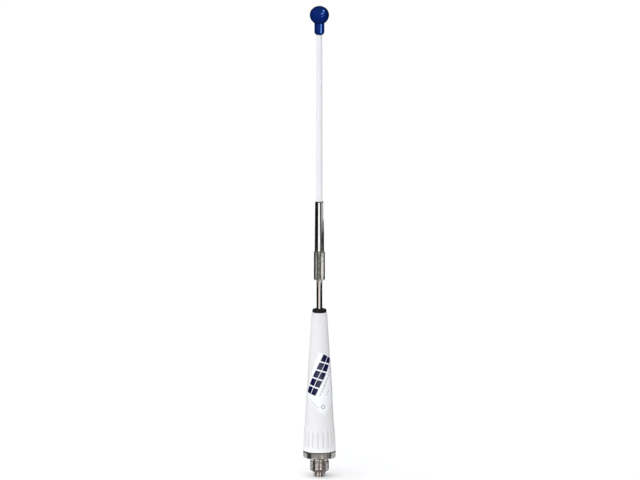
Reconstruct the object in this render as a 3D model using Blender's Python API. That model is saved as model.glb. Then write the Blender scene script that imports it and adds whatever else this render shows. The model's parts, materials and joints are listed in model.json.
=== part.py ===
"""Omnidirectional whip antenna for a boat's VHF radio, as an assembly of its separate pieces.

A threaded metal fitting carries a coaxial connector below and a matching coil above it, inside a plastic
cone. A steel rod leaves the cone and ends in a threaded stud. A knurled nut, captive on the whip's ferrule,
screws on to that stud and lets the fibreglass whip come off.

The antenna stands along +Z. Z = 0 is the underside of the fitting's flange, where it meets its mount.
All sizes are in millimetres. The functions that make meshes turn them into Blender's metres.
"""

import math

import bmesh
import bpy
from mathutils import Vector

MM = 0.001
GAP = 0.3
EDGE_BREAK = 0.5
OVERSHOOT = 4.0

# Fitting: a flange, with a 1 inch thread below it for the mount and a spigot above it for the cone.
FLANGE_RADIUS = 22.0
FLANGE_TOP = 8.4
FLANGE_ROUNDING = 1.6
STUB_RADIUS = 12.7
STUB_BOTTOM = -19.0
STUB_CHAMFER = 2.1
RELIEF_TOP = -1.8
RELIEF_BOTTOM = -4.0
RELIEF_DEPTH = 1.3
SPIGOT_RADIUS = 18.0
SPIGOT_TOP = 24.0
CUP_RADIUS = 10.5
CUP_TOP = 40.0
CUP_FLOOR = 20.0
WIRE_BORE_RADIUS = 3.5
GASKET_INSET = 0.9

# Coaxial connector, 5/8 inch outside, for a plug with a 4 mm pin.
SHELL_RADIUS = 7.94
SHELL_BORE_RADIUS = 6.35
SHELL_BOTTOM = -26.2
SHELL_TOP = 1.5
SHELL_NOTCHES = 4
NOTCH_RADIUS = 1.0
INSULATOR_BOTTOM = -20.0
INSULATOR_TOP = -2.0
CONTACT_RADIUS = 2.8
CONTACT_BORE_RADIUS = 2.0
CONTACT_BOTTOM = -25.2
CONTACT_TOP = 6.0
PIN_DEPTH = 16.0
SOLDER_CUP_DEPTH = 4.5
SOLDER_CUP_WALL = 0.9

# Cone: straight apart from a slight bulge, with ribs round its foot and a plain rim below them.
CONE_BOTTOM = 9.4
CONE_TOP = 198.2
CONE_FOOT_RADIUS = 21.0
CONE_TOP_RADIUS = 10.25
CONE_BULGE = 0.5
CONE_WALL = 2.4
RIM_TOP = 14.6
RIM_HEIGHT = 0.65
RIB_COUNT = 18
RIB_HEIGHT = 0.75
RIB_TOP = 45.0
RIB_RUN_OUT = 5.0
FIRST_GROOVE = math.radians(15.0 - 90.0)
SKIN_HEIGHTS = (80.0, 115.0, 155.0)
MOUTH_RADIUS = 6.5
MOUTH_DEPTH = 4.0

# Grommet, with a spigot that fills the cone's mouth and a dished collar on top of it.
GROMMET_FOOT = 192.2
GROMMET_RADIUS = 9.5
GROMMET_TOP = 202.5
GROMMET_ROUNDING = 1.3
GROMMET_DISH = 1.0

# Label: a leaning four-sided sticker, given on the cone's skin laid flat, across and up from LABEL_Z.
LABEL_Z = 59.5
LABEL_TURN = math.radians(20.0)
LABEL_CORNERS = ((0.0, 0.0), (40.0, 61.0), (-5.0, 87.0), (-27.0, 27.0))
LABEL_THICKNESS = 0.25

# Mast rod, and the stud that the coupling nut screws on to.
ROD_RADIUS = 4.0
ROD_FOOT = 151.5
ROD_SHOULDER = 244.4
STUD_RADIUS = 3.0
STUD_TOP = 258.6

# Socket for the rod's foot, on top of the coil former.
SOCKET_RADIUS = 8.0
SOCKET_BOTTOM = 146.0
SOCKET_TOP = 176.0
SOCKET_BOSS_RADIUS = 3.6
SOCKET_BOSS_FOOT = 134.0
SET_SCREW_RADIUS = 2.0
SET_SCREW_PROUD = 0.2
SET_SCREW_HEIGHTS = (158.0, 168.0)
KEY_RADIUS = 1.0
KEY_DEPTH = 1.6

# Coil former, its cross pins, and the coil wound on it.
FORMER_RADIUS = 7.0
FORMER_BORE_RADIUS = 1.5
TAP_HOLE_RADIUS = 1.3
TAP_Z = 56.1
PIN_RADIUS = 1.0
PIN_CHAMFER = 0.2
LOWER_PIN_Z = 33.0
UPPER_PIN_Z = 140.5
WIRE_RADIUS = 0.8
COIL_RADIUS = FORMER_RADIUS + GAP + WIRE_RADIUS
COIL_START = math.pi
COIL_FOOT = 49.0
COIL_TOP = 133.0
COIL_TURNS = 14
COIL_STEPS = 12
LEAD_RADIUS = 16.5
LEAD_STEPS = 10
RISE_TURNS = 0.15
RISE_STEPS = 5
FEED_BEND = 2.5
FEED_PROUD = 2.2

# Ground tag beside the cup, its screw, and the capacitor above it.
TAG_DISTANCE = 14.0
TAG_ANGLE = math.radians(100.0)
TAG_THICKNESS = 0.8
TAG_BORE_RADIUS = 1.9
TAG_RADIUS = 3.4
TAIL_DISTANCE = 16.9
TAIL_WIDTH = 2.6
TAIL_TOP = 31.0
SCREW_RADIUS = 1.5
SCREW_DEPTH = 6.0
SCREW_HEAD_RADIUS = 2.2
SCREW_HEAD_HEIGHT = 1.8
SCREW_SLOT_WIDTH = 0.7
SCREW_SLOT_DEPTH = 0.8
CAPACITOR_RADIUS = 4.5
CAPACITOR_HALF_THICKNESS = 1.3
CAPACITOR_ROUNDING = 0.7
CAPACITOR_Z = 46.0
CAPACITOR_DISTANCE = 11.0
CAPACITOR_ANGLE = math.radians(-60.0)
LEG_RADIUS = 0.4
LEG_SPREAD = 2.2

# Coupling nut, captive on the ferrule's spigot.
NUT_RADIUS = 7.5
NUT_CHAMFER = 0.8
NUT_ROUNDING = 1.0
NUT_BOTTOM = 242.4
NUT_TOP = 281.0
NUT_SHOULDER = 245.9
NUT_THREAD_RADIUS = STUD_RADIUS + GAP
NUT_THREAD_TOP = 258.8
NUT_CAVITY_RADIUS = 5.9
CLIP_GROOVE_RADIUS = 6.6
CLIP_BOTTOM = 279.1
CLIP_TOP = 280.1
CLIP_OPENING = math.radians(70.0)

# Ferrule, whip and the contact between them.
FERRULE_FOOT = 259.2
FERRULE_SPIGOT_RADIUS = 4.5
FERRULE_COLLAR_RADIUS = 5.6
FERRULE_COLLAR_HEIGHT = 2.2
FERRULE_SHOULDER = 281.3
FERRULE_BOTTOM_RADIUS = 6.4
FERRULE_TOP_RADIUS = 5.8
FERRULE_TOP = 348.9
FERRULE_CHAMFER = 0.6
FERRULE_BORE_RADIUS = 4.8
FERRULE_BORE_FLOOR = 288.0
WHIP_FOOT = 300.0
WHIP_TOP = 592.0
WHIP_FOOT_RADIUS = 4.5
WHIP_TOP_RADIUS = 3.7
WHIP_BORE_RADIUS = 1.6
CONDUCTOR_RADIUS = 1.1
CONDUCTOR_TOP = 588.0
SOLDERED_DEPTH = 6.0

# Ball cap on the whip's end.
CAP_BOTTOM = 574.4
CAP_NECK_RADIUS = 6.7
CAP_BORE_RADIUS = 4.05
CAP_LIP = 0.7
CAP_TAPER = 2.6
BALL_Z = 600.9
BALL_RADIUS = 13.0
BALL_TOP = 612.9
BALL_FILLET = 2.8

COARSE, MEDIUM, FINE = 20, 28, 40
ALONG_MINUS_Y = (math.radians(90), 0, 0)


def clear_scene():
    for leftover in list(bpy.data.objects):
        bpy.data.objects.remove(leftover, do_unlink=True)


def material(name, colour, roughness, metallic=0.0):
    """A Principled material, made once and shared by the pieces that name it."""
    found = bpy.data.materials.get(name)
    if found:
        return found
    made = bpy.data.materials.new(name)
    made.use_nodes = True
    shader = made.node_tree.nodes["Principled BSDF"]
    shader.inputs["Base Color"].default_value = (*colour, 1.0)
    shader.inputs["Roughness"].default_value = roughness
    shader.inputs["Metallic"].default_value = metallic
    return made


def chrome():
    return material("chromed_brass", (0.78, 0.77, 0.75), 0.12, 1.0)


def stainless():
    return material("stainless_steel", (0.60, 0.59, 0.57), 0.25, 1.0)


def knurled():
    return material("knurled_steel", (0.55, 0.54, 0.52), 0.35, 1.0)


def brass():
    return material("brass", (0.78, 0.60, 0.30), 0.30, 1.0)


def copper():
    return material("copper", (0.80, 0.42, 0.26), 0.30, 1.0)


def tinned():
    return material("tinned_steel", (0.70, 0.70, 0.68), 0.35, 1.0)


def white_nylon():
    return material("white_nylon", (0.86, 0.86, 0.85), 0.42)


def white_gelcoat():
    return material("white_gelcoat", (0.88, 0.89, 0.90), 0.25)


def black_rubber():
    return material("black_rubber", (0.02, 0.02, 0.02), 0.60)


def blue_plastic():
    return material("blue_plastic", (0.010, 0.030, 0.22), 0.15)


def label_film():
    return material("label_film", (0.90, 0.91, 0.93), 0.20)


def dielectric():
    return material("white_dielectric", (0.85, 0.84, 0.80), 0.45)


def former_plastic():
    return material("former_plastic", (0.55, 0.48, 0.34), 0.50)


def capacitor_glaze():
    return material("capacitor_glaze", (0.62, 0.34, 0.10), 0.35)


def arc(centre_r, centre_z, radius, start_deg, end_deg, steps, height=None):
    """Points (r, z) on an arc, or on a stretch of an ellipse if it has a height of its own."""
    up = radius if height is None else height
    angles = [math.radians(start_deg + (end_deg - start_deg) * i / steps) for i in range(steps + 1)]
    return [(centre_r + radius * math.cos(a), centre_z + up * math.sin(a)) for a in angles]


def finish_mesh(name, mesh_data, surface, location, rotation):
    """Puts a bmesh, in millimetres, into the scene as one smooth-shaded object."""
    bmesh.ops.recalc_face_normals(mesh_data, faces=mesh_data.faces)
    bmesh.ops.scale(mesh_data, vec=(MM, MM, MM), verts=mesh_data.verts)
    mesh = bpy.data.meshes.new(name)
    mesh_data.to_mesh(mesh)
    mesh_data.free()
    mesh.shade_smooth()
    mesh.set_sharp_from_angle(angle=math.radians(30.0))
    mesh.materials.append(surface)
    made = bpy.data.objects.new(name, mesh)
    made.location = Vector(location) * MM
    made.rotation_euler = rotation
    bpy.context.scene.collection.objects.link(made)
    return made


def turned(name, profile, sides, surface, foot=0.0, location=(0, 0, 0), rotation=(0, 0, 0), sweep=math.tau):
    """A turned piece from points (r, z). Its origin is on its axis, at the height foot.

    The profile starts half a side round, so that cross holes meet the middle of a flat and not an edge.
    """
    whole = sweep == math.tau
    on_axis = profile[0][0] == 0 and profile[-1][0] == 0
    start = sweep / sides / 2
    shape = bmesh.new()
    points = [shape.verts.new((r * math.cos(start), r * math.sin(start), z - foot)) for r, z in profile]
    edges = [shape.edges.new(pair) for pair in zip(points, points[1:])]
    if not on_axis:
        edges.append(shape.edges.new((points[-1], points[0])))
    start_cap = None if whole else shape.faces.new(points)
    made = bmesh.ops.spin(
        shape,
        geom=points + edges,
        cent=(0, 0, 0),
        axis=(0, 0, 1),
        angle=sweep,
        steps=sides,
        use_merge=whole,
    )
    if start_cap:
        last = [item for item in made["geom_last"] if isinstance(item, bmesh.types.BMEdge)]
        bmesh.ops.contextual_create(shape, geom=last)
    bmesh.ops.remove_doubles(shape, verts=shape.verts, dist=1e-4)
    place = Vector(location) + Vector((0, 0, foot))
    return finish_mesh(name, shape, surface, place, rotation)


def skinned(name, rings, surface, foot=0.0):
    """A hollow piece from rings of points, each joined to the next and the last one to the first."""
    shape = bmesh.new()
    made = [[shape.verts.new((x, y, z - foot)) for x, y, z in ring] for ring in rings]
    for lower, upper in zip(made, made[1:] + made[:1]):
        for i, point in enumerate(lower):
            nearest = (i + 1) % len(lower)
            shape.faces.new((point, lower[nearest], upper[nearest], upper[i]))
    return finish_mesh(name, shape, surface, (0, 0, foot), (0, 0, 0))


def wire(name, points, radius, surface):
    """A round wire along points, with closed ends."""
    path = bpy.data.curves.new(name, "CURVE")
    path.dimensions = "3D"
    path.bevel_depth = radius * MM
    path.bevel_resolution = 1
    path.use_fill_caps = True
    spline = path.splines.new("POLY")
    spline.points.add(len(points) - 1)
    for target, point in zip(spline.points, points):
        target.co = (*(value * MM for value in point), 1.0)
    path.materials.append(surface)
    made = bpy.data.objects.new(name, path)
    bpy.context.scene.collection.objects.link(made)
    return made


def combine(piece, other, operation):
    """A Boolean on piece. The other shape stays in the file as a hidden helper."""
    other.hide_render = True
    other.display_type = "WIRE"
    step = piece.modifiers.new(other.name, "BOOLEAN")
    step.operation = operation
    step.solver = "EXACT"
    step.object = other


def rod_shape(name, radius, length, sides, surface, location, rotation=(0, 0, 0), chamfer=0.0):
    """A plain round bar from its origin up its own Z, with an optional chamfer at both ends."""
    profile = [(0, 0), (radius - chamfer, 0), (radius, chamfer), (radius, length - chamfer)]
    profile += [(radius - chamfer, length), (0, length)]
    if not chamfer:
        profile = [(0, 0), (radius, 0), (radius, length), (0, length)]
    return turned(name, profile, sides, surface, location=location, rotation=rotation)


def on_circle(radius, angle, z):
    return (radius * math.cos(angle), radius * math.sin(angle), z)


def cone_radius(z):
    """Outer radius of the cone's plain skin."""
    share = (z - RIM_TOP) / (CONE_TOP - RIM_TOP)
    straight = CONE_FOOT_RADIUS + (CONE_TOP_RADIUS - CONE_FOOT_RADIUS) * share
    return straight + 4 * CONE_BULGE * share * (1 - share)


# ---- Fitting and connector ----


def make_base_fitting():
    bottom_edge = arc(FLANGE_RADIUS - FLANGE_ROUNDING, FLANGE_ROUNDING, FLANGE_ROUNDING, -90, 0, 4)
    relief_radius = STUB_RADIUS - RELIEF_DEPTH
    profile = [
        (SHELL_RADIUS + GAP, STUB_BOTTOM),
        (STUB_RADIUS - STUB_CHAMFER, STUB_BOTTOM),
        (STUB_RADIUS, STUB_BOTTOM + STUB_CHAMFER),
        (STUB_RADIUS, RELIEF_BOTTOM),
        (relief_radius, RELIEF_BOTTOM),
        (relief_radius, RELIEF_TOP),
        (STUB_RADIUS, RELIEF_TOP),
        (STUB_RADIUS, 0.0),
        *bottom_edge,
        (FLANGE_RADIUS, FLANGE_TOP - EDGE_BREAK),
        (FLANGE_RADIUS - EDGE_BREAK, FLANGE_TOP),
        (SPIGOT_RADIUS, FLANGE_TOP),
        (SPIGOT_RADIUS, SPIGOT_TOP),
        (CUP_RADIUS, SPIGOT_TOP),
        (CUP_RADIUS, CUP_TOP),
        (FORMER_RADIUS + GAP, CUP_TOP),
        (FORMER_RADIUS + GAP, CUP_FLOOR),
        (WIRE_BORE_RADIUS, CUP_FLOOR),
        (WIRE_BORE_RADIUS, SHELL_TOP + GAP),
        (SHELL_RADIUS + GAP, SHELL_TOP + GAP),
    ]
    fitting = turned("base_fitting", profile, FINE, chrome())
    hole_depth = SCREW_DEPTH + 1.0
    screw_hole = rod_shape(
        "ground_screw_hole",
        SCREW_RADIUS + GAP,
        hole_depth + OVERSHOOT,
        12,
        chrome(),
        on_circle(TAG_DISTANCE, TAG_ANGLE, SPIGOT_TOP - hole_depth),
    )
    combine(fitting, screw_hole, "DIFFERENCE")
    combine(fitting, pin_hole("fitting_pin_hole", LOWER_PIN_Z, CUP_RADIUS, one_side=True), "DIFFERENCE")


def pin_hole(name, z, radius, one_side=False):
    """Cutter for a cross pin's hole, along Y: through a round piece, or only its wall on the -Y side."""
    reach = radius + OVERSHOOT
    back = 0.0 if one_side else reach
    return rod_shape(name, PIN_RADIUS + GAP, reach + back, 12, chrome(), (0, back, z), ALONG_MINUS_Y)


def make_base_gasket():
    profile = [
        (SPIGOT_RADIUS + GAP, FLANGE_TOP + GAP),
        (FLANGE_RADIUS - GASKET_INSET, FLANGE_TOP + GAP),
        (FLANGE_RADIUS - GASKET_INSET, CONE_BOTTOM - GAP),
        (SPIGOT_RADIUS + GAP, CONE_BOTTOM - GAP),
    ]
    turned("base_gasket", profile, FINE, black_rubber(), foot=FLANGE_TOP)


def make_connector_shell():
    profile = [
        (SHELL_BORE_RADIUS, SHELL_BOTTOM),
        (SHELL_RADIUS - EDGE_BREAK, SHELL_BOTTOM),
        (SHELL_RADIUS, SHELL_BOTTOM + EDGE_BREAK),
        (SHELL_RADIUS, SHELL_TOP),
        (WIRE_BORE_RADIUS, SHELL_TOP),
        (WIRE_BORE_RADIUS, INSULATOR_TOP + GAP),
        (SHELL_BORE_RADIUS, INSULATOR_TOP + GAP),
    ]
    shell = turned("connector_shell", profile, 32, chrome(), foot=SHELL_BOTTOM)
    for i in range(SHELL_NOTCHES):
        angle = math.tau * (i + 0.5) / SHELL_NOTCHES
        notch = rod_shape(
            f"shell_notch_{i + 1}",
            NOTCH_RADIUS,
            OVERSHOOT,
            8,
            chrome(),
            on_circle(SHELL_BORE_RADIUS - NOTCH_RADIUS, angle, SHELL_BOTTOM),
            (0, math.radians(90), angle),
        )
        combine(shell, notch, "DIFFERENCE")


def make_connector_insulator():
    outer = SHELL_BORE_RADIUS - GAP
    inner = CONTACT_RADIUS + GAP
    profile = [
        (inner, INSULATOR_BOTTOM),
        (outer, INSULATOR_BOTTOM),
        (outer, INSULATOR_TOP),
        (inner, INSULATOR_TOP),
    ]
    turned("connector_insulator", profile, MEDIUM, dielectric(), foot=INSULATOR_BOTTOM)


def make_connector_contact():
    """Centre socket: a blind bore for the plug's pin below, a solder cup for the feed wire above."""
    cup_bore = WIRE_RADIUS + GAP
    cup_radius = cup_bore + SOLDER_CUP_WALL
    cup_floor = CONTACT_TOP - SOLDER_CUP_DEPTH
    profile = [
        (0, CONTACT_BOTTOM + PIN_DEPTH),
        (CONTACT_BORE_RADIUS, CONTACT_BOTTOM + PIN_DEPTH),
        (CONTACT_BORE_RADIUS, CONTACT_BOTTOM),
        (CONTACT_RADIUS - GAP, CONTACT_BOTTOM),
        (CONTACT_RADIUS, CONTACT_BOTTOM + GAP),
        (CONTACT_RADIUS, INSULATOR_TOP),
        (cup_radius, INSULATOR_TOP + 1.0),
        (cup_radius, CONTACT_TOP),
        (cup_bore, CONTACT_TOP),
        (cup_bore, cup_floor),
        (0, cup_floor),
    ]
    turned("connector_contact", profile, COARSE, brass(), foot=CONTACT_BOTTOM)


# ---- Cone, label and grommet ----


def rib_phase(angle):
    """0 in the groove between two ribs, 1 on a rib's crest."""
    return abs(math.sin(RIB_COUNT * (angle - FIRST_GROOVE) / 2)) ** 0.5


def cone_ring(radius, z, rib_share=0.0):
    """Points round the cone, four to a rib, with a share of the ribs' height added to the radius."""
    segments = 4 * RIB_COUNT
    angles = [FIRST_GROOVE + math.tau * i / segments for i in range(segments)]
    return [on_circle(radius + RIB_HEIGHT * rib_share * rib_phase(a), a, z) for a in angles]


def make_cone_cover():
    """Up the outside from the rim to the mouth, then down the inside to the wall that grips the spigot."""
    rim = cone_radius(RIM_TOP) + RIM_HEIGHT
    bore = SPIGOT_RADIUS + GAP
    run_out = RIB_TOP - RIB_RUN_OUT
    half_out = (run_out + RIB_TOP) / 2
    shoulder = CONE_TOP - EDGE_BREAK
    inner_top = CONE_TOP - MOUTH_DEPTH - CONE_WALL
    inner_foot = SPIGOT_TOP + CONE_WALL
    inner_heights = (inner_top, SKIN_HEIGHTS[1], inner_foot + CONE_WALL)
    rings = [
        cone_ring(bore, CONE_BOTTOM),
        cone_ring(rim - EDGE_BREAK, CONE_BOTTOM),
        cone_ring(rim, CONE_BOTTOM + EDGE_BREAK),
        cone_ring(rim, RIM_TOP - EDGE_BREAK),
        cone_ring(cone_radius(RIM_TOP), RIM_TOP, 1.0),
        cone_ring(cone_radius(run_out), run_out, 1.0),
        cone_ring(cone_radius(half_out), half_out, 0.7),
        cone_ring(cone_radius(RIB_TOP), RIB_TOP),
        *[cone_ring(cone_radius(z), z) for z in (*SKIN_HEIGHTS, shoulder)],
        cone_ring(CONE_TOP_RADIUS - EDGE_BREAK, CONE_TOP),
        cone_ring(MOUTH_RADIUS, CONE_TOP),
        cone_ring(MOUTH_RADIUS, CONE_TOP - MOUTH_DEPTH),
        *[cone_ring(cone_radius(z) - CONE_WALL, z) for z in inner_heights],
        cone_ring(bore, inner_foot),
    ]
    skinned("cone_cover", rings, white_nylon(), foot=CONE_BOTTOM)


def on_cone(across, up, lift):
    """A point of the flat label wrapped round the cone, lift above its skin."""
    low = cone_radius(LABEL_Z)
    slope = (low - cone_radius(CONE_TOP)) / (CONE_TOP - LABEL_Z)
    apex = low / slope
    reach = math.hypot(across, apex - up)
    turn = math.atan2(across, apex - up) * math.hypot(1.0, slope) / slope
    z = LABEL_Z + apex - reach
    return on_circle(cone_radius(z) + lift, LABEL_TURN + turn - math.pi / 2, z)


def make_cone_label():
    """The sticker's two faces as grids, joined round their edge."""
    columns, rows = 13, 18
    first, second, third, fourth = (Vector(corner) for corner in LABEL_CORNERS)
    shape = bmesh.new()
    faces = []
    for lift in (GAP, GAP + LABEL_THICKNESS):
        grid = []
        for row in range(rows + 1):
            left = fourth.lerp(third, row / rows)
            right = first.lerp(second, row / rows)
            line = [left.lerp(right, column / columns) for column in range(columns + 1)]
            grid.append([shape.verts.new(on_cone(point.x, point.y, lift)) for point in line])
        for lower, upper in zip(grid, grid[1:]):
            for i in range(columns):
                faces.append(shape.faces.new((lower[i], lower[i + 1], upper[i + 1], upper[i])))
    open_edges = [edge for edge in shape.edges if edge.is_boundary]
    bmesh.ops.bridge_loops(shape, edges=open_edges)
    bmesh.ops.triangulate(shape, faces=shape.faces)
    finish_mesh("cone_label", shape, label_film(), (0, 0, 0), (0, 0, 0))


def make_seal_grommet():
    bore = ROD_RADIUS + GAP
    spigot = MOUTH_RADIUS - GAP
    seat = CONE_TOP + GAP
    crest = GROMMET_RADIUS - GROMMET_ROUNDING
    profile = [
        (bore, GROMMET_FOOT),
        (spigot, GROMMET_FOOT),
        (spigot, seat),
        (GROMMET_RADIUS - EDGE_BREAK, seat),
        (GROMMET_RADIUS, seat + EDGE_BREAK),
        *arc(crest, GROMMET_TOP - GROMMET_ROUNDING, GROMMET_ROUNDING, 0, 90, 4),
        ((bore + crest) / 2, GROMMET_TOP - GROMMET_DISH),
        (bore, GROMMET_TOP - GROMMET_DISH),
    ]
    turned("seal_grommet", profile, 32, black_rubber(), foot=GROMMET_FOOT)


# ---- Rod, socket and coil ----


def make_mast_rod():
    profile = [
        (0, ROD_FOOT),
        (ROD_RADIUS - EDGE_BREAK, ROD_FOOT),
        (ROD_RADIUS, ROD_FOOT + EDGE_BREAK),
        (ROD_RADIUS, ROD_SHOULDER - GAP),
        (ROD_RADIUS - GAP, ROD_SHOULDER),
        (STUD_RADIUS, ROD_SHOULDER),
        (STUD_RADIUS, STUD_TOP - NUT_CHAMFER),
        (STUD_RADIUS - NUT_CHAMFER, STUD_TOP),
        (0, STUD_TOP),
    ]
    turned("mast_rod", profile, 24, stainless(), foot=ROD_FOOT)


def make_coupling_seal():
    profile = [
        (STUD_RADIUS + GAP, ROD_SHOULDER + GAP),
        (ROD_RADIUS, ROD_SHOULDER + GAP),
        (ROD_RADIUS, NUT_SHOULDER - GAP),
        (STUD_RADIUS + GAP, NUT_SHOULDER - GAP),
    ]
    turned("coupling_seal", profile, 24, black_rubber(), foot=ROD_SHOULDER)


def make_mast_socket():
    bore = ROD_RADIUS + GAP
    profile = [
        (0, SOCKET_BOSS_FOOT),
        (SOCKET_BOSS_RADIUS, SOCKET_BOSS_FOOT),
        (SOCKET_BOSS_RADIUS, SOCKET_BOTTOM),
        (SOCKET_RADIUS, SOCKET_BOTTOM),
        (SOCKET_RADIUS, SOCKET_TOP - EDGE_BREAK),
        (SOCKET_RADIUS - EDGE_BREAK, SOCKET_TOP),
        (bore, SOCKET_TOP),
        (bore, ROD_FOOT - GAP),
        (0, ROD_FOOT - GAP),
    ]
    socket = turned("mast_socket", profile, MEDIUM, brass(), foot=SOCKET_BOTTOM)
    combine(socket, pin_hole("socket_pin_hole", UPPER_PIN_Z, SOCKET_BOSS_RADIUS), "DIFFERENCE")
    for i, z in enumerate(SET_SCREW_HEIGHTS, start=1):
        inside_bore = (0, -SOCKET_RADIUS / 2, z)
        radius = SET_SCREW_RADIUS + GAP
        name = f"set_screw_hole_{i}"
        hole = rod_shape(name, radius, SOCKET_RADIUS, 12, brass(), inside_bore, ALONG_MINUS_Y)
        combine(socket, hole, "DIFFERENCE")


def make_set_screws():
    """Two grub screws with hexagon sockets, from the rod outwards to the front of the mast socket."""
    start = ROD_RADIUS + GAP
    end = SOCKET_RADIUS + SET_SCREW_PROUD
    for i, z in enumerate(SET_SCREW_HEIGHTS, start=1):
        screw = rod_shape(
            f"socket_set_screw_{i}",
            SET_SCREW_RADIUS,
            end - start,
            14,
            stainless(),
            (0, -start, z),
            ALONG_MINUS_Y,
            chamfer=GAP,
        )
        key_foot = (0, KEY_DEPTH - end, z)
        name = f"set_screw_key_{i}"
        key = rod_shape(name, KEY_RADIUS, KEY_DEPTH + OVERSHOOT, 6, stainless(), key_foot, ALONG_MINUS_Y)
        combine(screw, key, "DIFFERENCE")


def make_coil_former():
    foot = CUP_FLOOR + GAP
    top = SOCKET_BOTTOM - GAP
    bore = FORMER_BORE_RADIUS
    bore_top = TAP_Z + bore + EDGE_BREAK
    profile = [
        (0, bore_top),
        (bore, bore_top),
        (bore, foot),
        (FORMER_RADIUS, foot),
        (FORMER_RADIUS, top),
        (SOCKET_BOSS_RADIUS + GAP, top),
        (SOCKET_BOSS_RADIUS + GAP, SOCKET_BOSS_FOOT - GAP),
        (0, SOCKET_BOSS_FOOT - GAP),
    ]
    former = turned("coil_former", profile, 24, former_plastic(), foot=foot)
    reach = FORMER_RADIUS + OVERSHOOT
    towards_x = (0, math.radians(90), 0)
    tap_hole = rod_shape(
        "former_tap_hole", TAP_HOLE_RADIUS, reach, 12, former_plastic(), (0, 0, TAP_Z), towards_x
    )
    combine(former, tap_hole, "DIFFERENCE")
    combine(former, pin_hole("former_lower_hole", LOWER_PIN_Z, FORMER_RADIUS, one_side=True), "DIFFERENCE")
    combine(former, pin_hole("former_upper_hole", UPPER_PIN_Z, FORMER_RADIUS), "DIFFERENCE")


def make_former_pins():
    """Pins across the former's two ends. The lower one stops short of the feed wire on the axis."""
    upper_end = FORMER_RADIUS - PIN_CHAMFER
    lower_start = FORMER_BORE_RADIUS + GAP
    spans = {
        "former_pin_upper": (-upper_end, upper_end, UPPER_PIN_Z),
        "former_pin_lower": (lower_start, CUP_RADIUS, LOWER_PIN_Z),
    }
    for name, (start, end, z) in spans.items():
        place = (0, -start, z)
        rod_shape(name, PIN_RADIUS, end - start, 12, tinned(), place, ALONG_MINUS_Y, chamfer=PIN_CHAMFER)


def coil_point(turns, lift=0.0):
    """A point on the coil's helix, counted in turns from its foot."""
    z = COIL_FOOT + (COIL_TOP - COIL_FOOT) * turns / COIL_TURNS
    return on_circle(COIL_RADIUS, COIL_START + math.tau * turns, z + lift)


def make_loading_coil():
    """The coil, with a lead that swings out and down to the ground tag and one that rises to the socket."""
    lead_foot = TAIL_TOP + GAP
    lead = []
    for i in range(LEAD_STEPS):
        share = i / LEAD_STEPS
        ease = share * share * (3 - 2 * share)
        angle = TAG_ANGLE + (COIL_START - TAG_ANGLE) * ease
        radius = LEAD_RADIUS + (COIL_RADIUS - LEAD_RADIUS) * ease
        lead.append(on_circle(radius, angle, lead_foot + (COIL_FOOT - lead_foot) * share))
    winding = [coil_point(i / COIL_STEPS) for i in range(COIL_TURNS * COIL_STEPS + 1)]
    rise = SOCKET_BOTTOM - 2 * GAP - coil_point(COIL_TURNS + RISE_TURNS)[2]
    for i in range(1, RISE_STEPS + 1):
        share = i / RISE_STEPS
        winding.append(coil_point(COIL_TURNS + RISE_TURNS * share, rise * share))
    wire("loading_coil", lead + winding, WIRE_RADIUS, copper())


def make_feed_wire():
    """From the solder cup up the fitting's bore, then out of the former's side to the coil's tap."""
    bend = [(x, 0, z) for x, z in arc(FEED_BEND, TAP_Z - FEED_BEND, FEED_BEND, 180, 90, 5)]
    foot = (0, 0, CONTACT_TOP - SOLDER_CUP_DEPTH + GAP)
    end = (FORMER_RADIUS + FEED_PROUD, 0, TAP_Z)
    wire("feed_wire", [foot, *bend, end], WIRE_RADIUS, copper())


def make_box(name, size, surface, place, turn):
    """A plain box, centred on place and turned about Z."""
    box = bmesh.new()
    bmesh.ops.create_cube(box, size=1.0)
    bmesh.ops.scale(box, vec=size, verts=box.verts)
    return finish_mesh(name, box, surface, place, (0, 0, turn))


def make_ground_lug():
    """Ring tag under the screw's head, with an upright tail for the coil's lead."""
    seat = SPIGOT_TOP + GAP
    ring = [
        (TAG_BORE_RADIUS, 0),
        (TAG_RADIUS, 0),
        (TAG_RADIUS, TAG_THICKNESS),
        (TAG_BORE_RADIUS, TAG_THICKNESS),
    ]
    lug = turned("ground_lug", ring, 16, tinned(), location=on_circle(TAG_DISTANCE, TAG_ANGLE, seat))
    height = TAIL_TOP - seat
    place = on_circle(TAIL_DISTANCE, TAG_ANGLE, seat + height / 2)
    tail = make_box("lug_tail", (TAG_THICKNESS, TAIL_WIDTH, height), tinned(), place, TAG_ANGLE)
    combine(lug, tail, "UNION")


def make_ground_screw():
    foot = SPIGOT_TOP - SCREW_DEPTH
    head = SPIGOT_TOP + TAG_THICKNESS + 2 * GAP
    top = head + SCREW_HEAD_HEIGHT
    profile = [
        (0, foot),
        (SCREW_RADIUS, foot),
        (SCREW_RADIUS, head),
        (SCREW_HEAD_RADIUS, head),
        (SCREW_HEAD_RADIUS, top - EDGE_BREAK),
        (SCREW_HEAD_RADIUS - EDGE_BREAK, top),
        (0, top),
    ]
    screw = turned(
        "ground_screw", profile, 16, tinned(), foot=foot, location=on_circle(TAG_DISTANCE, TAG_ANGLE, 0)
    )
    size = (SCREW_SLOT_WIDTH, 2 * TAG_RADIUS, 2 * SCREW_SLOT_DEPTH)
    slot = make_box("screw_slot", size, tinned(), on_circle(TAG_DISTANCE, TAG_ANGLE, top), TAG_ANGLE)
    combine(screw, slot, "DIFFERENCE")


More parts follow.
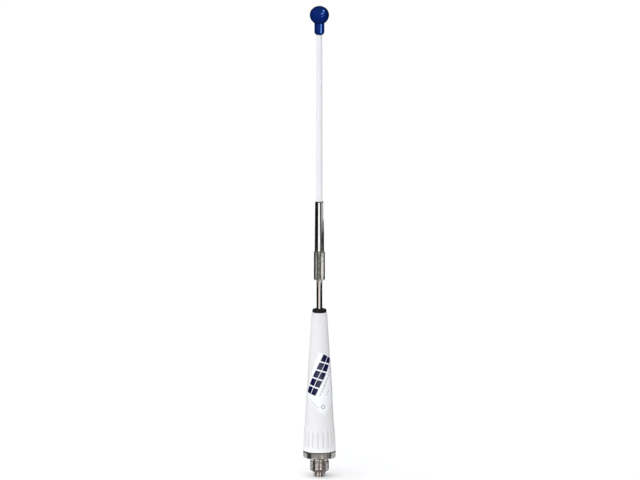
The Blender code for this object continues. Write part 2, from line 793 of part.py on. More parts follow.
def make_matching_capacitor():
    """A glazed disc on edge beside the former, with its two legs."""
    half = CAPACITOR_HALF_THICKNESS
    flat = CAPACITOR_RADIUS - CAPACITOR_ROUNDING
    edge = half - CAPACITOR_ROUNDING
    disc = [
        (0, -half),
        (flat, -half),
        (CAPACITOR_RADIUS, -edge),
        (CAPACITOR_RADIUS, edge),
        (flat, half),
        (0, half),
    ]
    centre = on_circle(CAPACITOR_DISTANCE, CAPACITOR_ANGLE, CAPACITOR_Z)
    sideways = CAPACITOR_ANGLE + math.radians(90)
    turn = (math.radians(90), 0, sideways)
    capacitor = turned("matching_capacitor", disc, 18, capacitor_glaze(), location=centre, rotation=turn)
    foot = SPIGOT_TOP + 2 * GAP
    middle = Vector(on_circle(CAPACITOR_DISTANCE, CAPACITOR_ANGLE, foot))
    for i, spread in enumerate((-LEG_SPREAD, LEG_SPREAD), start=1):
        place = middle + Vector(on_circle(spread, sideways, 0))
        leg = rod_shape(f"capacitor_leg_{i}", LEG_RADIUS, CAPACITOR_Z - foot, 8, tinned(), place)
        combine(capacitor, leg, "UNION")


# ---- Coupling nut, ferrule, whip and cap ----


def make_coupling_nut(pivot):
    profile = [
        (ROD_RADIUS + GAP, NUT_BOTTOM),
        (NUT_RADIUS - NUT_CHAMFER, NUT_BOTTOM),
        (NUT_RADIUS, NUT_BOTTOM + NUT_CHAMFER),
        *arc(NUT_RADIUS - NUT_ROUNDING, NUT_TOP - NUT_ROUNDING, NUT_ROUNDING, 0, 90, 3),
        (NUT_CAVITY_RADIUS, NUT_TOP),
        (NUT_CAVITY_RADIUS, CLIP_TOP + GAP),
        (CLIP_GROOVE_RADIUS, CLIP_TOP + GAP),
        (CLIP_GROOVE_RADIUS, CLIP_BOTTOM - GAP),
        (NUT_CAVITY_RADIUS, CLIP_BOTTOM - GAP),
        (NUT_CAVITY_RADIUS, NUT_THREAD_TOP),
        (NUT_THREAD_RADIUS, NUT_THREAD_TOP),
        (NUT_THREAD_RADIUS, NUT_SHOULDER),
        (ROD_RADIUS + GAP, NUT_SHOULDER),
    ]
    nut = turned("coupling_nut", profile, 36, knurled(), foot=NUT_BOTTOM)
    carry(pivot, nut)


def make_retaining_clip(pivot):
    profile = [
        (FERRULE_SPIGOT_RADIUS + GAP, CLIP_BOTTOM),
        (CLIP_GROOVE_RADIUS - GAP, CLIP_BOTTOM),
        (CLIP_GROOVE_RADIUS - GAP, CLIP_TOP),
        (FERRULE_SPIGOT_RADIUS + GAP, CLIP_TOP),
    ]
    sweep = math.tau - CLIP_OPENING
    clip = turned("retaining_clip", profile, 20, stainless(), foot=CLIP_BOTTOM, sweep=sweep)
    carry(pivot, clip)


def make_whip_ferrule(pivot):
    collar_top = CLIP_BOTTOM - GAP
    collar_bottom = collar_top - FERRULE_COLLAR_HEIGHT
    profile = [
        (0, FERRULE_FOOT),
        (FERRULE_SPIGOT_RADIUS - EDGE_BREAK, FERRULE_FOOT),
        (FERRULE_SPIGOT_RADIUS, FERRULE_FOOT + EDGE_BREAK),
        (FERRULE_SPIGOT_RADIUS, collar_bottom),
        (FERRULE_COLLAR_RADIUS, collar_bottom),
        (FERRULE_COLLAR_RADIUS, collar_top),
        (FERRULE_SPIGOT_RADIUS, collar_top),
        (FERRULE_SPIGOT_RADIUS, FERRULE_SHOULDER),
        (FERRULE_BOTTOM_RADIUS, FERRULE_SHOULDER),
        (FERRULE_TOP_RADIUS, FERRULE_TOP - FERRULE_CHAMFER),
        (FERRULE_TOP_RADIUS - FERRULE_CHAMFER, FERRULE_TOP),
        (FERRULE_BORE_RADIUS, FERRULE_TOP),
        (FERRULE_BORE_RADIUS, FERRULE_BORE_FLOOR),
        (0, FERRULE_BORE_FLOOR),
    ]
    ferrule = turned("whip_ferrule", profile, 32, stainless(), foot=FERRULE_FOOT)
    carry(pivot, ferrule)


def make_whip_contact(pivot):
    radius = FERRULE_BORE_RADIUS - GAP
    bore = CONDUCTOR_RADIUS + GAP
    top = WHIP_FOOT - GAP
    profile = [
        (0, FERRULE_BORE_FLOOR + GAP),
        (radius, FERRULE_BORE_FLOOR + GAP),
        (radius, top),
        (bore, top),
        (bore, top - SOLDERED_DEPTH),
        (0, top - SOLDERED_DEPTH),
    ]
    contact = turned("whip_contact", profile, COARSE, brass(), foot=FERRULE_BORE_FLOOR)
    carry(pivot, contact)


def make_whip_conductor(pivot):
    foot = WHIP_FOOT - SOLDERED_DEPTH
    length = CONDUCTOR_TOP - foot
    conductor = rod_shape("whip_conductor", CONDUCTOR_RADIUS, length, 12, copper(), (0, 0, foot))
    carry(pivot, conductor)


def make_fibreglass_whip(pivot):
    profile = [
        (WHIP_BORE_RADIUS, WHIP_FOOT),
        (WHIP_FOOT_RADIUS, WHIP_FOOT),
        (WHIP_TOP_RADIUS, WHIP_TOP),
        (WHIP_BORE_RADIUS, WHIP_TOP),
    ]
    whip = turned("fibreglass_whip", profile, 24, white_gelcoat(), foot=WHIP_FOOT)
    carry(pivot, whip)


def make_tip_cap(pivot):
    """Bore, neck, concave fillet and ball. The fillet's circle touches the ball and the neck."""
    fillet_r = CAP_NECK_RADIUS + BALL_FILLET
    fillet_z = BALL_Z - math.sqrt((BALL_RADIUS + BALL_FILLET) ** 2 - fillet_r**2)
    meeting = math.degrees(math.atan2(BALL_Z - fillet_z, -fillet_r))
    bore_top = WHIP_TOP + GAP
    profile = [
        (0, bore_top),
        (CAP_BORE_RADIUS, bore_top),
        (CAP_BORE_RADIUS, CAP_BOTTOM),
        (CAP_BORE_RADIUS + CAP_LIP, CAP_BOTTOM),
        (CAP_NECK_RADIUS, CAP_BOTTOM + CAP_TAPER),
        *arc(fillet_r, fillet_z, BALL_FILLET, 180, meeting, 4),
        *arc(0, BALL_Z, BALL_RADIUS, meeting - 180, 0, 5)[1:],
        *arc(0, BALL_Z, BALL_RADIUS, 0, 90, 8, height=BALL_TOP - BALL_Z)[1:-1],
        (0, BALL_TOP),
    ]
    cap = turned("tip_cap", profile, MEDIUM, blue_plastic(), foot=CAP_BOTTOM)
    carry(pivot, cap)


# ---- Assembly ----


def make_pivot(name, z, parent=None):
    """An empty on the antenna's axis that carries the pieces of one moving group."""
    pivot = bpy.data.objects.new(name, None)
    pivot.empty_display_size = 10 * MM
    pivot.location = (0, 0, z * MM)
    bpy.context.scene.collection.objects.link(pivot)
    if parent:
        pivot.parent = parent
        pivot.location.z -= parent.location.z
    return pivot


def carry(pivot, piece):
    """Parents a piece to a pivot and keeps its place."""
    held_at = pivot.location.z + (pivot.parent.location.z if pivot.parent else 0.0)
    piece.parent = pivot
    piece.location.z -= held_at


def main():
    clear_scene()
    make_base_fitting()
    make_base_gasket()
    make_connector_shell()
    make_connector_insulator()
    make_connector_contact()
    make_cone_cover()
    make_cone_label()
    make_seal_grommet()
    make_mast_rod()
    make_coupling_seal()
    make_mast_socket()
    make_set_screws()
    make_coil_former()
    make_former_pins()
    make_loading_coil()
    make_feed_wire()
    make_ground_lug()
    make_ground_screw()
    make_matching_capacitor()
    upper_section = make_pivot("upper_section_pivot", NUT_BOTTOM)
    make_whip_ferrule(upper_section)
    make_whip_contact(upper_section)
    make_whip_conductor(upper_section)
    make_fibreglass_whip(upper_section)
    make_tip_cap(upper_section)
    nut_pivot = make_pivot("coupling_nut_pivot", NUT_BOTTOM, upper_section)
    make_coupling_nut(nut_pivot)
    make_retaining_clip(nut_pivot)


main()
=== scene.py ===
"""Looks of an omnidirectional whip antenna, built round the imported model's fixed frame.

Each visible piece is a fine mesh that stands for one CAD node. Meshes are made in millimetres and turned
into metres at the end. Heights and radii come from the CAD nodes' boxes, and from the driving dimensions
named below.
"""

import functools
import json
import math

import bmesh
import bpy
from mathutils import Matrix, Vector


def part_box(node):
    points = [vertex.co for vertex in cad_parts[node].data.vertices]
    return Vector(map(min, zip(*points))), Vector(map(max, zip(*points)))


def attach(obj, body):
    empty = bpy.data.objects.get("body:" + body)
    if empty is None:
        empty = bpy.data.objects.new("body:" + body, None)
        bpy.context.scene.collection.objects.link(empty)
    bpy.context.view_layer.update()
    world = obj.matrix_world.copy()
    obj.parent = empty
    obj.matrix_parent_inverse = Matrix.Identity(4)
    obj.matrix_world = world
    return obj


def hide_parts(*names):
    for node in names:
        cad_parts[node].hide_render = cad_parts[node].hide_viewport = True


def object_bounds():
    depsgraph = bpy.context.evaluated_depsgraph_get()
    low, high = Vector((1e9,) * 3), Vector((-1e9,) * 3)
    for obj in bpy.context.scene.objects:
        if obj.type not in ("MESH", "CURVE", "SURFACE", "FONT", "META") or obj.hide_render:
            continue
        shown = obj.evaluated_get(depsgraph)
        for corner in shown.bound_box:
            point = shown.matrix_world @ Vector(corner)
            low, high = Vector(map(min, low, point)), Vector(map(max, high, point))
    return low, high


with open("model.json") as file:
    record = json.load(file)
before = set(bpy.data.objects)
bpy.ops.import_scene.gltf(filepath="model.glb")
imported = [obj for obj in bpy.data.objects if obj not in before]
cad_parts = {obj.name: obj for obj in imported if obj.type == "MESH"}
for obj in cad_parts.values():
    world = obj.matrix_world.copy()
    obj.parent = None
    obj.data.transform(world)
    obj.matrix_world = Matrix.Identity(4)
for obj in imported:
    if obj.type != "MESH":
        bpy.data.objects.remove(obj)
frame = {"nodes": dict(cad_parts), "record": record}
cad_lowest, cad_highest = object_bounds()

MM = 0.001
SIDES = 128
SMALL_SIDES = 64

# The gap left where two pieces touch, and the distance within which points are welded.
TOUCH = 0.02
WELD = 1e-4

# Edges that turn by more than this look sharp.
SHARP = math.radians(32.0)

# A straight longer than this gets a point close to each of its ends.
LONG_STRAIGHT = 2.2
BRACE = 0.12

# Base fitting: flange, 1 inch 14 thread with a relief groove, and the spigot inside the cone.
FLANGE_TOP = 8.4
FLANGE_ROUNDING = 1.6
FLANGE_CHAMFER = 0.6
STUB_RADIUS = 12.7
STUB_BOTTOM = -19.0
STUB_CHAMFER = 2.1
STUB_PITCH = 25.4 / 14
STUB_THREAD_SHARE = 0.42
RELIEF_TOP = -1.8
RELIEF_BOTTOM = -4.0
RELIEF_RADIUS = 11.4
SPIGOT_RADIUS = 18.0
SPIGOT_TOP = 24.0
CUP_RADIUS = 10.5
CUP_BORE_RADIUS = 7.3
CUP_FLOOR = 20.0
WIRE_BORE_RADIUS = 3.5

# Coaxial connector with a 5/8 inch 24 thread.
CONNECTOR_PITCH = 25.4 / 24
CONNECTOR_THREAD_SHARE = 0.46
CONNECTOR_BORE_RADIUS = 6.35
CONNECTOR_BORE_TOP = -1.7
CONTACT_BORE_RADIUS = 2.0
CONTACT_BORE_DEPTH = 16.0
CONTACT_SLOT_DEPTH = 9.0
CONTACT_FINGERS = 4
HALF_SLOT = math.radians(9.0)
SOLDER_CUP_RADIUS = 2.0
SOLDER_CUP_BORE = 1.1
SOLDER_CUP_DEPTH = 4.5

# Cone: the same skin as the CAD cone, with grip ribs round its foot.
CONE_FOOT_RADIUS = 21.0
CONE_TOP_RADIUS = 10.25
CONE_BULGE = 0.5
CONE_WALL = 2.4
CONE_SHOULDER = 0.9
CONE_FOOT_ROUNDING = 0.6
RIM_TOP = 14.6
RIM_HEIGHT = 0.65
RIB_COUNT = 18
RIB_STEPS = 16
RIB_HEIGHT = 0.75
RIB_TOP = 45.0
RIB_RUN_OUT = 7.0
RIB_ARCH = 4.0
FIRST_GROOVE = math.radians(15.0 - 90.0)
MOUTH_RADIUS = 6.5
MOUTH_DEPTH = 4.0
GROMMET_ROUNDING = 1.3

# Label, as a leaning four-sided shape on the cone's skin laid flat, across and up from LABEL_Z.
LABEL_Z = 59.5
LABEL_TURN = math.radians(20.0)
LABEL_CORNERS = ((0.0, 0.0), (40.0, 61.0), (-5.0, 87.0), (-27.0, 27.0))
LABEL_CORNER_RADIUS = 1.6
LABEL_LIFT = 0.04
LABEL_THICKNESS = 0.14
LABEL_CELL = 1.5

# Rod, stud and coupling.
STUD_RADIUS = 3.0
STUD_PITCH = 1.0
STUD_THREAD_SHARE = 0.61
SHOULDER_Z = 244.4
NUT_ROUNDING = 0.8
NUT_CHAMFER = 0.7
NUT_SHOULDER_Z = 245.9
NUT_THREAD_RADIUS = 3.3
NUT_THREAD_TOP = 258.8
NUT_CAVITY_RADIUS = 5.9
CLIP_GROOVE_RADIUS = 6.6
CLEARANCE = 0.3
KNURL_COUNT = 24
KNURL_STEPS = 14
KNURL_DEPTH = 0.30
KNURL_FLANK = 0.20
KNURL_LEAN = math.radians(30.0)

# Ferrule and cap.
FERRULE_SHOULDER_Z = 281.3
FERRULE_FOOT_RADIUS = 6.4
FERRULE_TOP_RADIUS = 5.8
FERRULE_SPIGOT_RADIUS = 4.5
FERRULE_COLLAR_RADIUS = 5.6
FERRULE_COLLAR_Z = 276.6
FERRULE_COLLAR_HEIGHT = 2.2
FERRULE_CHAMFER = 0.9
FERRULE_BORE_FLOOR_Z = 288.0
WHIP_FOOT_RADIUS = 4.5
WHIP_TOP_RADIUS = 3.7
WHIP_BORE_RADIUS = 1.6
CAP_NECK_RADIUS = 6.7
CAP_BORE_RADIUS = 4.05
CAP_LIP = 0.7
CAP_TAPER = 2.6
CAP_NECK_FOOT = 5.0
BALL_Z = 600.9
BALL_FILLET = 1.4


# ---- Mesh helpers ----


def on_circle(radius, angle, z):
    return (radius * math.cos(angle), radius * math.sin(angle), z)


def ease(share):
    """A smooth step from 0 to 1."""
    held = min(max(share, 0.0), 1.0)
    return held * held * (3 - 2 * held)


def steps_between(start, end, count):
    return [start + (end - start) * i / count for i in range(count + 1)]


@functools.cache
def node_span(node):
    """Lowest and highest height of a CAD node, and its largest radius, in millimetres."""
    low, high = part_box(node)
    return low.z / MM, high.z / MM, high.x / MM


def arc(centre_r, centre_z, radius, start_deg, end_deg, steps, height=None):
    """Points (r, z) on an arc, or on a stretch of an ellipse if it has a height of its own."""
    up = radius if height is None else height
    angles = [math.radians(a) for a in steps_between(start_deg, end_deg, steps)]
    return [(centre_r + radius * math.cos(a), centre_z + up * math.sin(a)) for a in angles]


def softened(points, radius, closed=False, steps=3):
    """A profile whose corners are rounded to about radius, or less where a side is short."""
    corners = [Vector(point) for point in points]
    before = [corners[-1], *corners[:-1]]
    after = [*corners[1:], corners[0]]
    made = []
    for i, corner in enumerate(corners):
        if not closed and i in (0, len(corners) - 1):
            made.append(tuple(corner))
            continue
        back, ahead = before[i] - corner, after[i] - corner
        opening = back.angle(ahead, math.pi)
        if opening > math.radians(172.0):
            made.append(tuple(corner))
            continue
        reach = min(radius / math.tan(opening / 2), 0.4 * back.length, 0.4 * ahead.length)
        start, end = corner + back.normalized() * reach, corner + ahead.normalized() * reach
        for share in steps_between(0.0, 1.0, steps):
            made.append(tuple(start.lerp(corner, share).lerp(corner.lerp(end, share), share)))
    return made


def join_columns(shape, columns, shift=0):
    """Faces between neighbouring columns of points, and from the last back to the first, shifted up."""
    last = len(columns) - 1
    for i, left in enumerate(columns):
        right = columns[0][shift:] if i == last else columns[i + 1]
        for j in range(min(len(left), len(right)) - 1):
            shape.faces.new((left[j], right[j], right[j + 1], left[j + 1]))


def braced(profile):
    """The profile with a point near both ends of each long straight, so that its shading stays even."""
    made = [profile[0]]
    for start, end in zip(profile, profile[1:]):
        first, last = Vector(start), Vector(end)
        length = (last - first).length
        if length > LONG_STRAIGHT:
            made += [tuple(first.lerp(last, share)) for share in (BRACE / length, 1 - BRACE / length)]
        made.append(end)
    return made


def revolve(shape, profile, sides=SIDES):
    """Adds the surface that a profile of points (r, z) sweeps round the axis."""
    profile = braced(profile)
    columns = []
    for i in range(sides):
        angle = math.tau * i / sides
        columns.append([shape.verts.new(on_circle(r, angle, z)) for r, z in profile])
    join_columns(shape, columns)


def revolve_ring(shape, profile, rounding, sides=SIDES):
    """Adds a ring with rounded edges, from the corners of its section."""
    rounded = softened(profile, rounding, closed=True)
    revolve(shape, [*rounded, rounded[0]], sides)


def skin(shape, sides, heights, radius_and_hollow):
    """Adds a skin round the axis. Each point's radius and hollow share come from its angle and height."""
    depth = shape.verts.layers.float["hollow"]
    columns = []
    for i in range(sides):
        angle = math.tau * i / sides
        column = []
        for z in heights:
            radius, hollow = radius_and_hollow(angle, z)
            point = shape.verts.new(on_circle(radius, angle, z))
            point[depth] = hollow
            column.append(point)
        columns.append(column)
    join_columns(shape, columns)


# Height of a thread's flank over its root, along one pitch.
THREAD_FORM = (
    (0.0, 0.0), (0.08, 0.03), (0.30, 0.92), (0.34, 1.0), (0.66, 1.0), (0.70, 0.92), (0.92, 0.03),
)


def thread(shape, low, high, pitch, root, crest, limit, sides=SIDES):
    """Adds a right-handed thread from low to high. limit(z, radius) trims it to a round ring at both ends."""
    depth = shape.verts.layers.float["hollow"]
    turns = math.ceil((high - low) / pitch) + 2
    columns = []
    for i in range(sides):
        column = []
        for turn in range(turns):
            for phase, height in THREAD_FORM:
                z = low + pitch * (turn - 1 + phase + i / sides)
                held = min(max(z, low), high)
                radius = limit(held, root + (crest - root) * height)
                point = shape.verts.new(on_circle(radius, math.tau * i / sides, held))
                point[depth] = 1.0 - height
                column.append(point)
        columns.append(column)
    join_columns(shape, columns, shift=len(THREAD_FORM))


def new_shape():
    """An empty bmesh that can hold how deep each point lies in a groove."""
    shape = bmesh.new()
    shape.verts.layers.float.new("hollow")
    return shape


def mesh_from(name, shape):
    mesh = bpy.data.meshes.new(name)
    shape.to_mesh(mesh)
    shape.free()
    return mesh


def piece(name, shape, finish, body, slot, *nodes):
    """Welds a bmesh in millimetres and makes it a piece on a body, in place of its CAD nodes."""
    bmesh.ops.remove_doubles(shape, verts=shape.verts, dist=WELD)
    bmesh.ops.dissolve_degenerate(shape, edges=shape.edges, dist=WELD)
    bmesh.ops.recalc_face_normals(shape, faces=shape.faces)
    bmesh.ops.scale(shape, vec=(MM, MM, MM), verts=shape.verts)
    mesh = mesh_from(name, shape)
    mesh.shade_smooth()
    mesh.set_sharp_from_angle(angle=SHARP)
    mesh.materials.append(finish)
    made = bpy.data.objects.new(name, mesh)
    bpy.context.scene.collection.objects.link(made)
    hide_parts(*nodes)
    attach(made, body)


# ---- Materials ----


def principled(name, roughness, metallic=0.0, coat=0.0, coat_roughness=0.1, ior=1.5):
    made = bpy.data.materials.new(name)
    made.use_nodes = True
    shader = made.node_tree.nodes["Principled BSDF"]
    shader.inputs["Roughness"].default_value = roughness
    shader.inputs["Metallic"].default_value = metallic
    shader.inputs["IOR"].default_value = ior
    shader.inputs["Coat Weight"].default_value = coat
    shader.inputs["Coat Roughness"].default_value = coat_roughness
    return made


def shader_of(finish):
    return finish.node_tree.nodes["Principled BSDF"]


def add_node(finish, kind, links=None, **settings):
    """A node with its settings, and its named inputs joined to sockets or set to values."""
    tree = finish.node_tree
    made = tree.nodes.new(kind)
    for key, value in settings.items():
        setattr(made, key, value)
    for key, value in (links or {}).items():
        if isinstance(value, bpy.types.NodeSocket):
            tree.links.new(value, made.inputs[key])
        else:
            made.inputs[key].default_value = value
    return made


def noise(finish, size, stretch=(1.0, 1.0, 1.0), detail=3.0, roughness=0.55):
    """Noise with features about size millimetres across, drawn out along an axis by its stretch."""
    place = add_node(finish, "ShaderNodeTexCoord")
    scale = tuple(1.0 / (size * MM * factor) for factor in stretch)
    mapped = add_node(finish, "ShaderNodeMapping", {"Vector": place.outputs["Object"], "Scale": scale})
    made = add_node(
        finish,
        "ShaderNodeTexNoise",
        {"Vector": mapped.outputs["Vector"], "Scale": 1.0, "Detail": detail, "Roughness": roughness},
    )
    return made.outputs["Fac"]


def hollow(finish):
    """How deep a point lies in a thread, knurl or groove, from 0 to 1."""
    return add_node(finish, "ShaderNodeAttribute", attribute_name="hollow").outputs["Fac"]


def spread(finish, value, low, high, start=0.3, end=0.7):
    """A value's middle range, from start to end, spread from low to high."""
    links = {"Value": value, "From Min": start, "From Max": end, "To Min": low, "To Max": high}
    return add_node(finish, "ShaderNodeMapRange", links).outputs["Result"]


def calculate(finish, operation, first, second=0.0):
    made = add_node(finish, "ShaderNodeMath", {0: first, 1: second}, operation=operation)
    return made.outputs["Value"]


def tint(finish, share, first, second):
    """A colour from first to second by a share from 0 to 1."""
    made = add_node(finish, "ShaderNodeMix", {"Factor": share}, data_type="RGBA")
    for key, colour in (("A", first), ("B", second)):
        socket = next(s for s in made.inputs if s.name == key and s.type == "RGBA")
        if isinstance(colour, bpy.types.NodeSocket):
            finish.node_tree.links.new(colour, socket)
        else:
            socket.default_value = (*colour, 1.0)
    return next(s for s in made.outputs if s.type == "RGBA")


def connect(finish, output, name):
    finish.node_tree.links.new(output, shader_of(finish).inputs[name])


def colour_by(finish, value, first, second, start=0.3, end=0.7):
    """Gives the finish a colour from first to second over a value's middle range."""
    share = spread(finish, value, 0.0, 1.0, start, end)
    connect(finish, tint(finish, share, first, second), "Base Color")


def bump(finish, height, depth, under=None):
    """Bump of a height from 0 to 1 over depth millimetres, on top of another bump if one is given."""
    links = {"Height": height, "Distance": depth * MM, "Strength": 1.0}
    if under is not None:
        links["Normal"] = under
    return add_node(finish, "ShaderNodeBump", links).outputs["Normal"]


def polished_metal(name, bright, dull, roughness, ring_depth, groove=(0.30, 0.27, 0.24), grime_and_shade_span=(0.25, 1.0)):
    """Turned and polished metal: fine rings round the axis, smudges, and darker thread or knurl roots.

    The darker roots are painted shade mixed with grime. A point is fully the groove's colour where its hollow
    share reaches the end of its last argument's span.
    """
    finish = principled(name, roughness[0], metallic=1.0)
    smudges = noise(finish, 9.0, (1.0, 1.0, 2.5), detail=4.0)
    colour = tint(finish, spread(finish, smudges, 0.0, 1.0), bright, dull)
    # Painted shade and grime: thread and knurl roots darken the deeper a point lies.
    grime_and_shade = spread(finish, hollow(finish), 0.0, 0.9, *grime_and_shade_span)
    connect(finish, tint(finish, grime_and_shade, colour, groove), "Base Color")
    streaks = noise(finish, 0.5, (40.0, 40.0, 0.5), detail=2.0)
    weighted = [calculate(finish, "MULTIPLY", smudges, 0.6), calculate(finish, "MULTIPLY", streaks, 0.4)]
    connect(finish, spread(finish, calculate(finish, "ADD", *weighted), *roughness), "Roughness")
    rings = noise(finish, 0.35, (60.0, 60.0, 0.4), detail=2.0)
    connect(finish, bump(finish, rings, ring_depth), "Normal")
    return finish


def make_chrome():
    return polished_metal("chromed_brass", (0.80, 0.78, 0.765), (0.71, 0.685, 0.665), (0.05, 0.12), 0.0006)


def make_stainless():
    return polished_metal("stainless_steel", (0.74, 0.72, 0.70), (0.64, 0.62, 0.60), (0.05, 0.11), 0.0007)


def make_knurled_steel():
    # The near-black groove colour is painted shade in the knurl's hollows.
    bright, dull, groove = (0.78, 0.76, 0.73), (0.62, 0.60, 0.56), (0.012, 0.010, 0.007)
    return polished_metal("knurled_steel", bright, dull, (0.04, 0.08), 0.0003, groove, (0.0, 0.15))


def make_brass():
    return polished_metal("brass", (0.80, 0.62, 0.32), (0.66, 0.48, 0.22), (0.16, 0.32), 0.004)


def make_copper():
    return polished_metal("copper", (0.80, 0.42, 0.27), (0.58, 0.27, 0.16), (0.20, 0.38), 0.002)


def make_tinned():
    return polished_metal("tinned_steel", (0.72, 0.71, 0.69), (0.54, 0.53, 0.51), (0.22, 0.42), 0.004)


def moulded_plastic(name, pale, dark, roughness, grain_depth, coat=0.0):
    """Moulded plastic: very slight cloudiness, a fine grain, and hollows between its ribs darkened with
    painted shade and dust.
    """
    finish = principled(name, roughness[0], coat=coat, coat_roughness=0.12)
    clouds = noise(finish, 26.0, (1.0, 1.0, 2.2), detail=3.0)
    colour = tint(finish, spread(finish, clouds, 0.0, 1.0), pale, dark)
    # Painted shade and dust: darker the deeper a point lies between the ribs.
    dust_and_shade = spread(finish, hollow(finish), 0.0, 0.9, 0.35, 1.0)
    soiled_and_shaded = tuple(0.60 * channel for channel in dark)
    connect(finish, tint(finish, dust_and_shade, colour, soiled_and_shaded), "Base Color")
    grain = noise(finish, 0.7, detail=4.0)
    connect(finish, spread(finish, grain, *roughness), "Roughness")
    flow = noise(finish, 16.0, (1.0, 1.0, 4.0), detail=1.0)
    waves = bump(finish, flow, 0.02)
    connect(finish, bump(finish, grain, grain_depth, under=waves), "Normal")
    return finish


def make_white_nylon():
    return moulded_plastic("white_nylon", (0.79, 0.79, 0.79), (0.76, 0.76, 0.765), (0.34, 0.46), 0.006)


def make_white_dielectric():
    return moulded_plastic("white_dielectric", (0.86, 0.85, 0.81), (0.78, 0.77, 0.72), (0.38, 0.52), 0.006)


def make_white_gelcoat():
    """White coat on a pulled fibreglass tube: faint lengthwise fibres under a glossy skin."""
    finish = principled("white_gelcoat", 0.30)
    shader_of(finish).inputs["Specular IOR Level"].default_value = 0.25
    fibres = noise(finish, 0.6, (1.0, 1.0, 60.0), detail=3.0)
    clouds = noise(finish, 22.0, (1.0, 1.0, 3.0), detail=2.0)
    pale = tint(finish, spread(finish, clouds, 0.0, 1.0), (0.82, 0.825, 0.84), (0.78, 0.785, 0.81))
    fibred = tint(finish, spread(finish, fibres, 0.0, 0.18), pale, (0.62, 0.66, 0.70))
    connect(finish, fibred, "Base Color")
    connect(finish, spread(finish, clouds, 0.24, 0.38), "Roughness")
    connect(finish, bump(finish, fibres, 0.008), "Normal")
    return finish


def make_black_rubber():
    finish = principled("black_rubber", 0.55)
    shader_of(finish).inputs["Specular IOR Level"].default_value = 0.35
    bloom = noise(finish, 5.0, detail=5.0)
    colour_by(finish, bloom, (0.003, 0.003, 0.003), (0.008, 0.008, 0.008))
    grain = noise(finish, 0.35, detail=4.0)
    connect(finish, spread(finish, grain, 0.42, 0.66), "Roughness")
    connect(finish, bump(finish, grain, 0.02), "Normal")
    return finish


def make_blue_plastic():
    """Deep blue dipped vinyl: glossy, with a tinted clear skin that darkens towards its edges."""
    finish = principled("blue_plastic", 0.10, coat=1.0, coat_roughness=0.05)
    shader = shader_of(finish)
    shader.inputs["Coat IOR"].default_value = 1.06
    shader.inputs["Coat Tint"].default_value = (0.42, 0.48, 0.53, 1.0)
    clouds = noise(finish, 10.0, detail=3.0)
    colour_by(finish, clouds, (0.005, 0.033, 0.250), (0.009, 0.044, 0.300))
    fine = noise(finish, 0.8, detail=3.0)
    connect(finish, spread(finish, fine, 0.07, 0.14), "Roughness")
    peel = noise(finish, 3.2, detail=1.0)
    connect(finish, bump(finish, peel, 0.006), "Normal")
    return finish


def make_former_plastic():
    """Glass fibre rod: amber resin with fine woven threads."""
    finish = principled("former_plastic", 0.45)
    around = noise(finish, 0.8, (8.0, 8.0, 0.6), detail=2.0)
    along = noise(finish, 0.8, (0.8, 0.8, 10.0), detail=2.0)
    weave = calculate(finish, "MULTIPLY", around, along)
    colour_by(finish, weave, (0.50, 0.42, 0.28), (0.64, 0.57, 0.40), 0.1, 0.4)
    connect(finish, spread(finish, around, 0.36, 0.54), "Roughness")
    connect(finish, bump(finish, weave, 0.03), "Normal")
    return finish


def make_capacitor_glaze():
    finish = principled("capacitor_glaze", 0.25, coat=0.4)
    clouds = noise(finish, 2.2, detail=4.0)
    colour_by(finish, clouds, (0.66, 0.36, 0.10), (0.50, 0.24, 0.06))
    connect(finish, spread(finish, clouds, 0.20, 0.36), "Roughness")
    connect(finish, bump(finish, noise(finish, 1.4, detail=2.0), 0.04), "Normal")
    return finish


# Label artwork, in millimetres along the label's long side and across from it. The row of bars rises a
# little from that side. RULES and BORDER are lines: low and high edge, and for RULES also start and end.
ROW_RISE = 0.11
ROW_START = 14.0
ROW_FOOT = 24.2
ROW_TOP = 39.0
BAR_START = 16.6
BAR_COUNT = 5
BAR_PITCH = 11.8
BAR_WIDTH = 10.2
BAR_LEAN = -0.25
BAR_LINE = (31.2, 32.0)
RULES = ((18.6, 19.5, 20.0, 62.0), (9.9, 10.7, 26.0, 33.0))
DASHES_PER_MM = 0.21
DASH_SPAN = (0.06, 0.78)
BORDER_LEAN = 0.199
BORDER = (2.4, 2.9)
BORDER_SPAN = (12.0, 30.0)
RING_MARK = (9.7, 7.9)
RING_SIZE = (1.9, 2.7)


def band(finish, value, low, high, blur=0.12):
    """1 where a value lies from low to high, with soft edges blur wide."""
    above = spread(finish, value, 0.0, 1.0, low - blur, low + blur)
    below = spread(finish, value, 1.0, 0.0, high - blur, high + blur)
    return calculate(finish, "MULTIPLY", above, below)


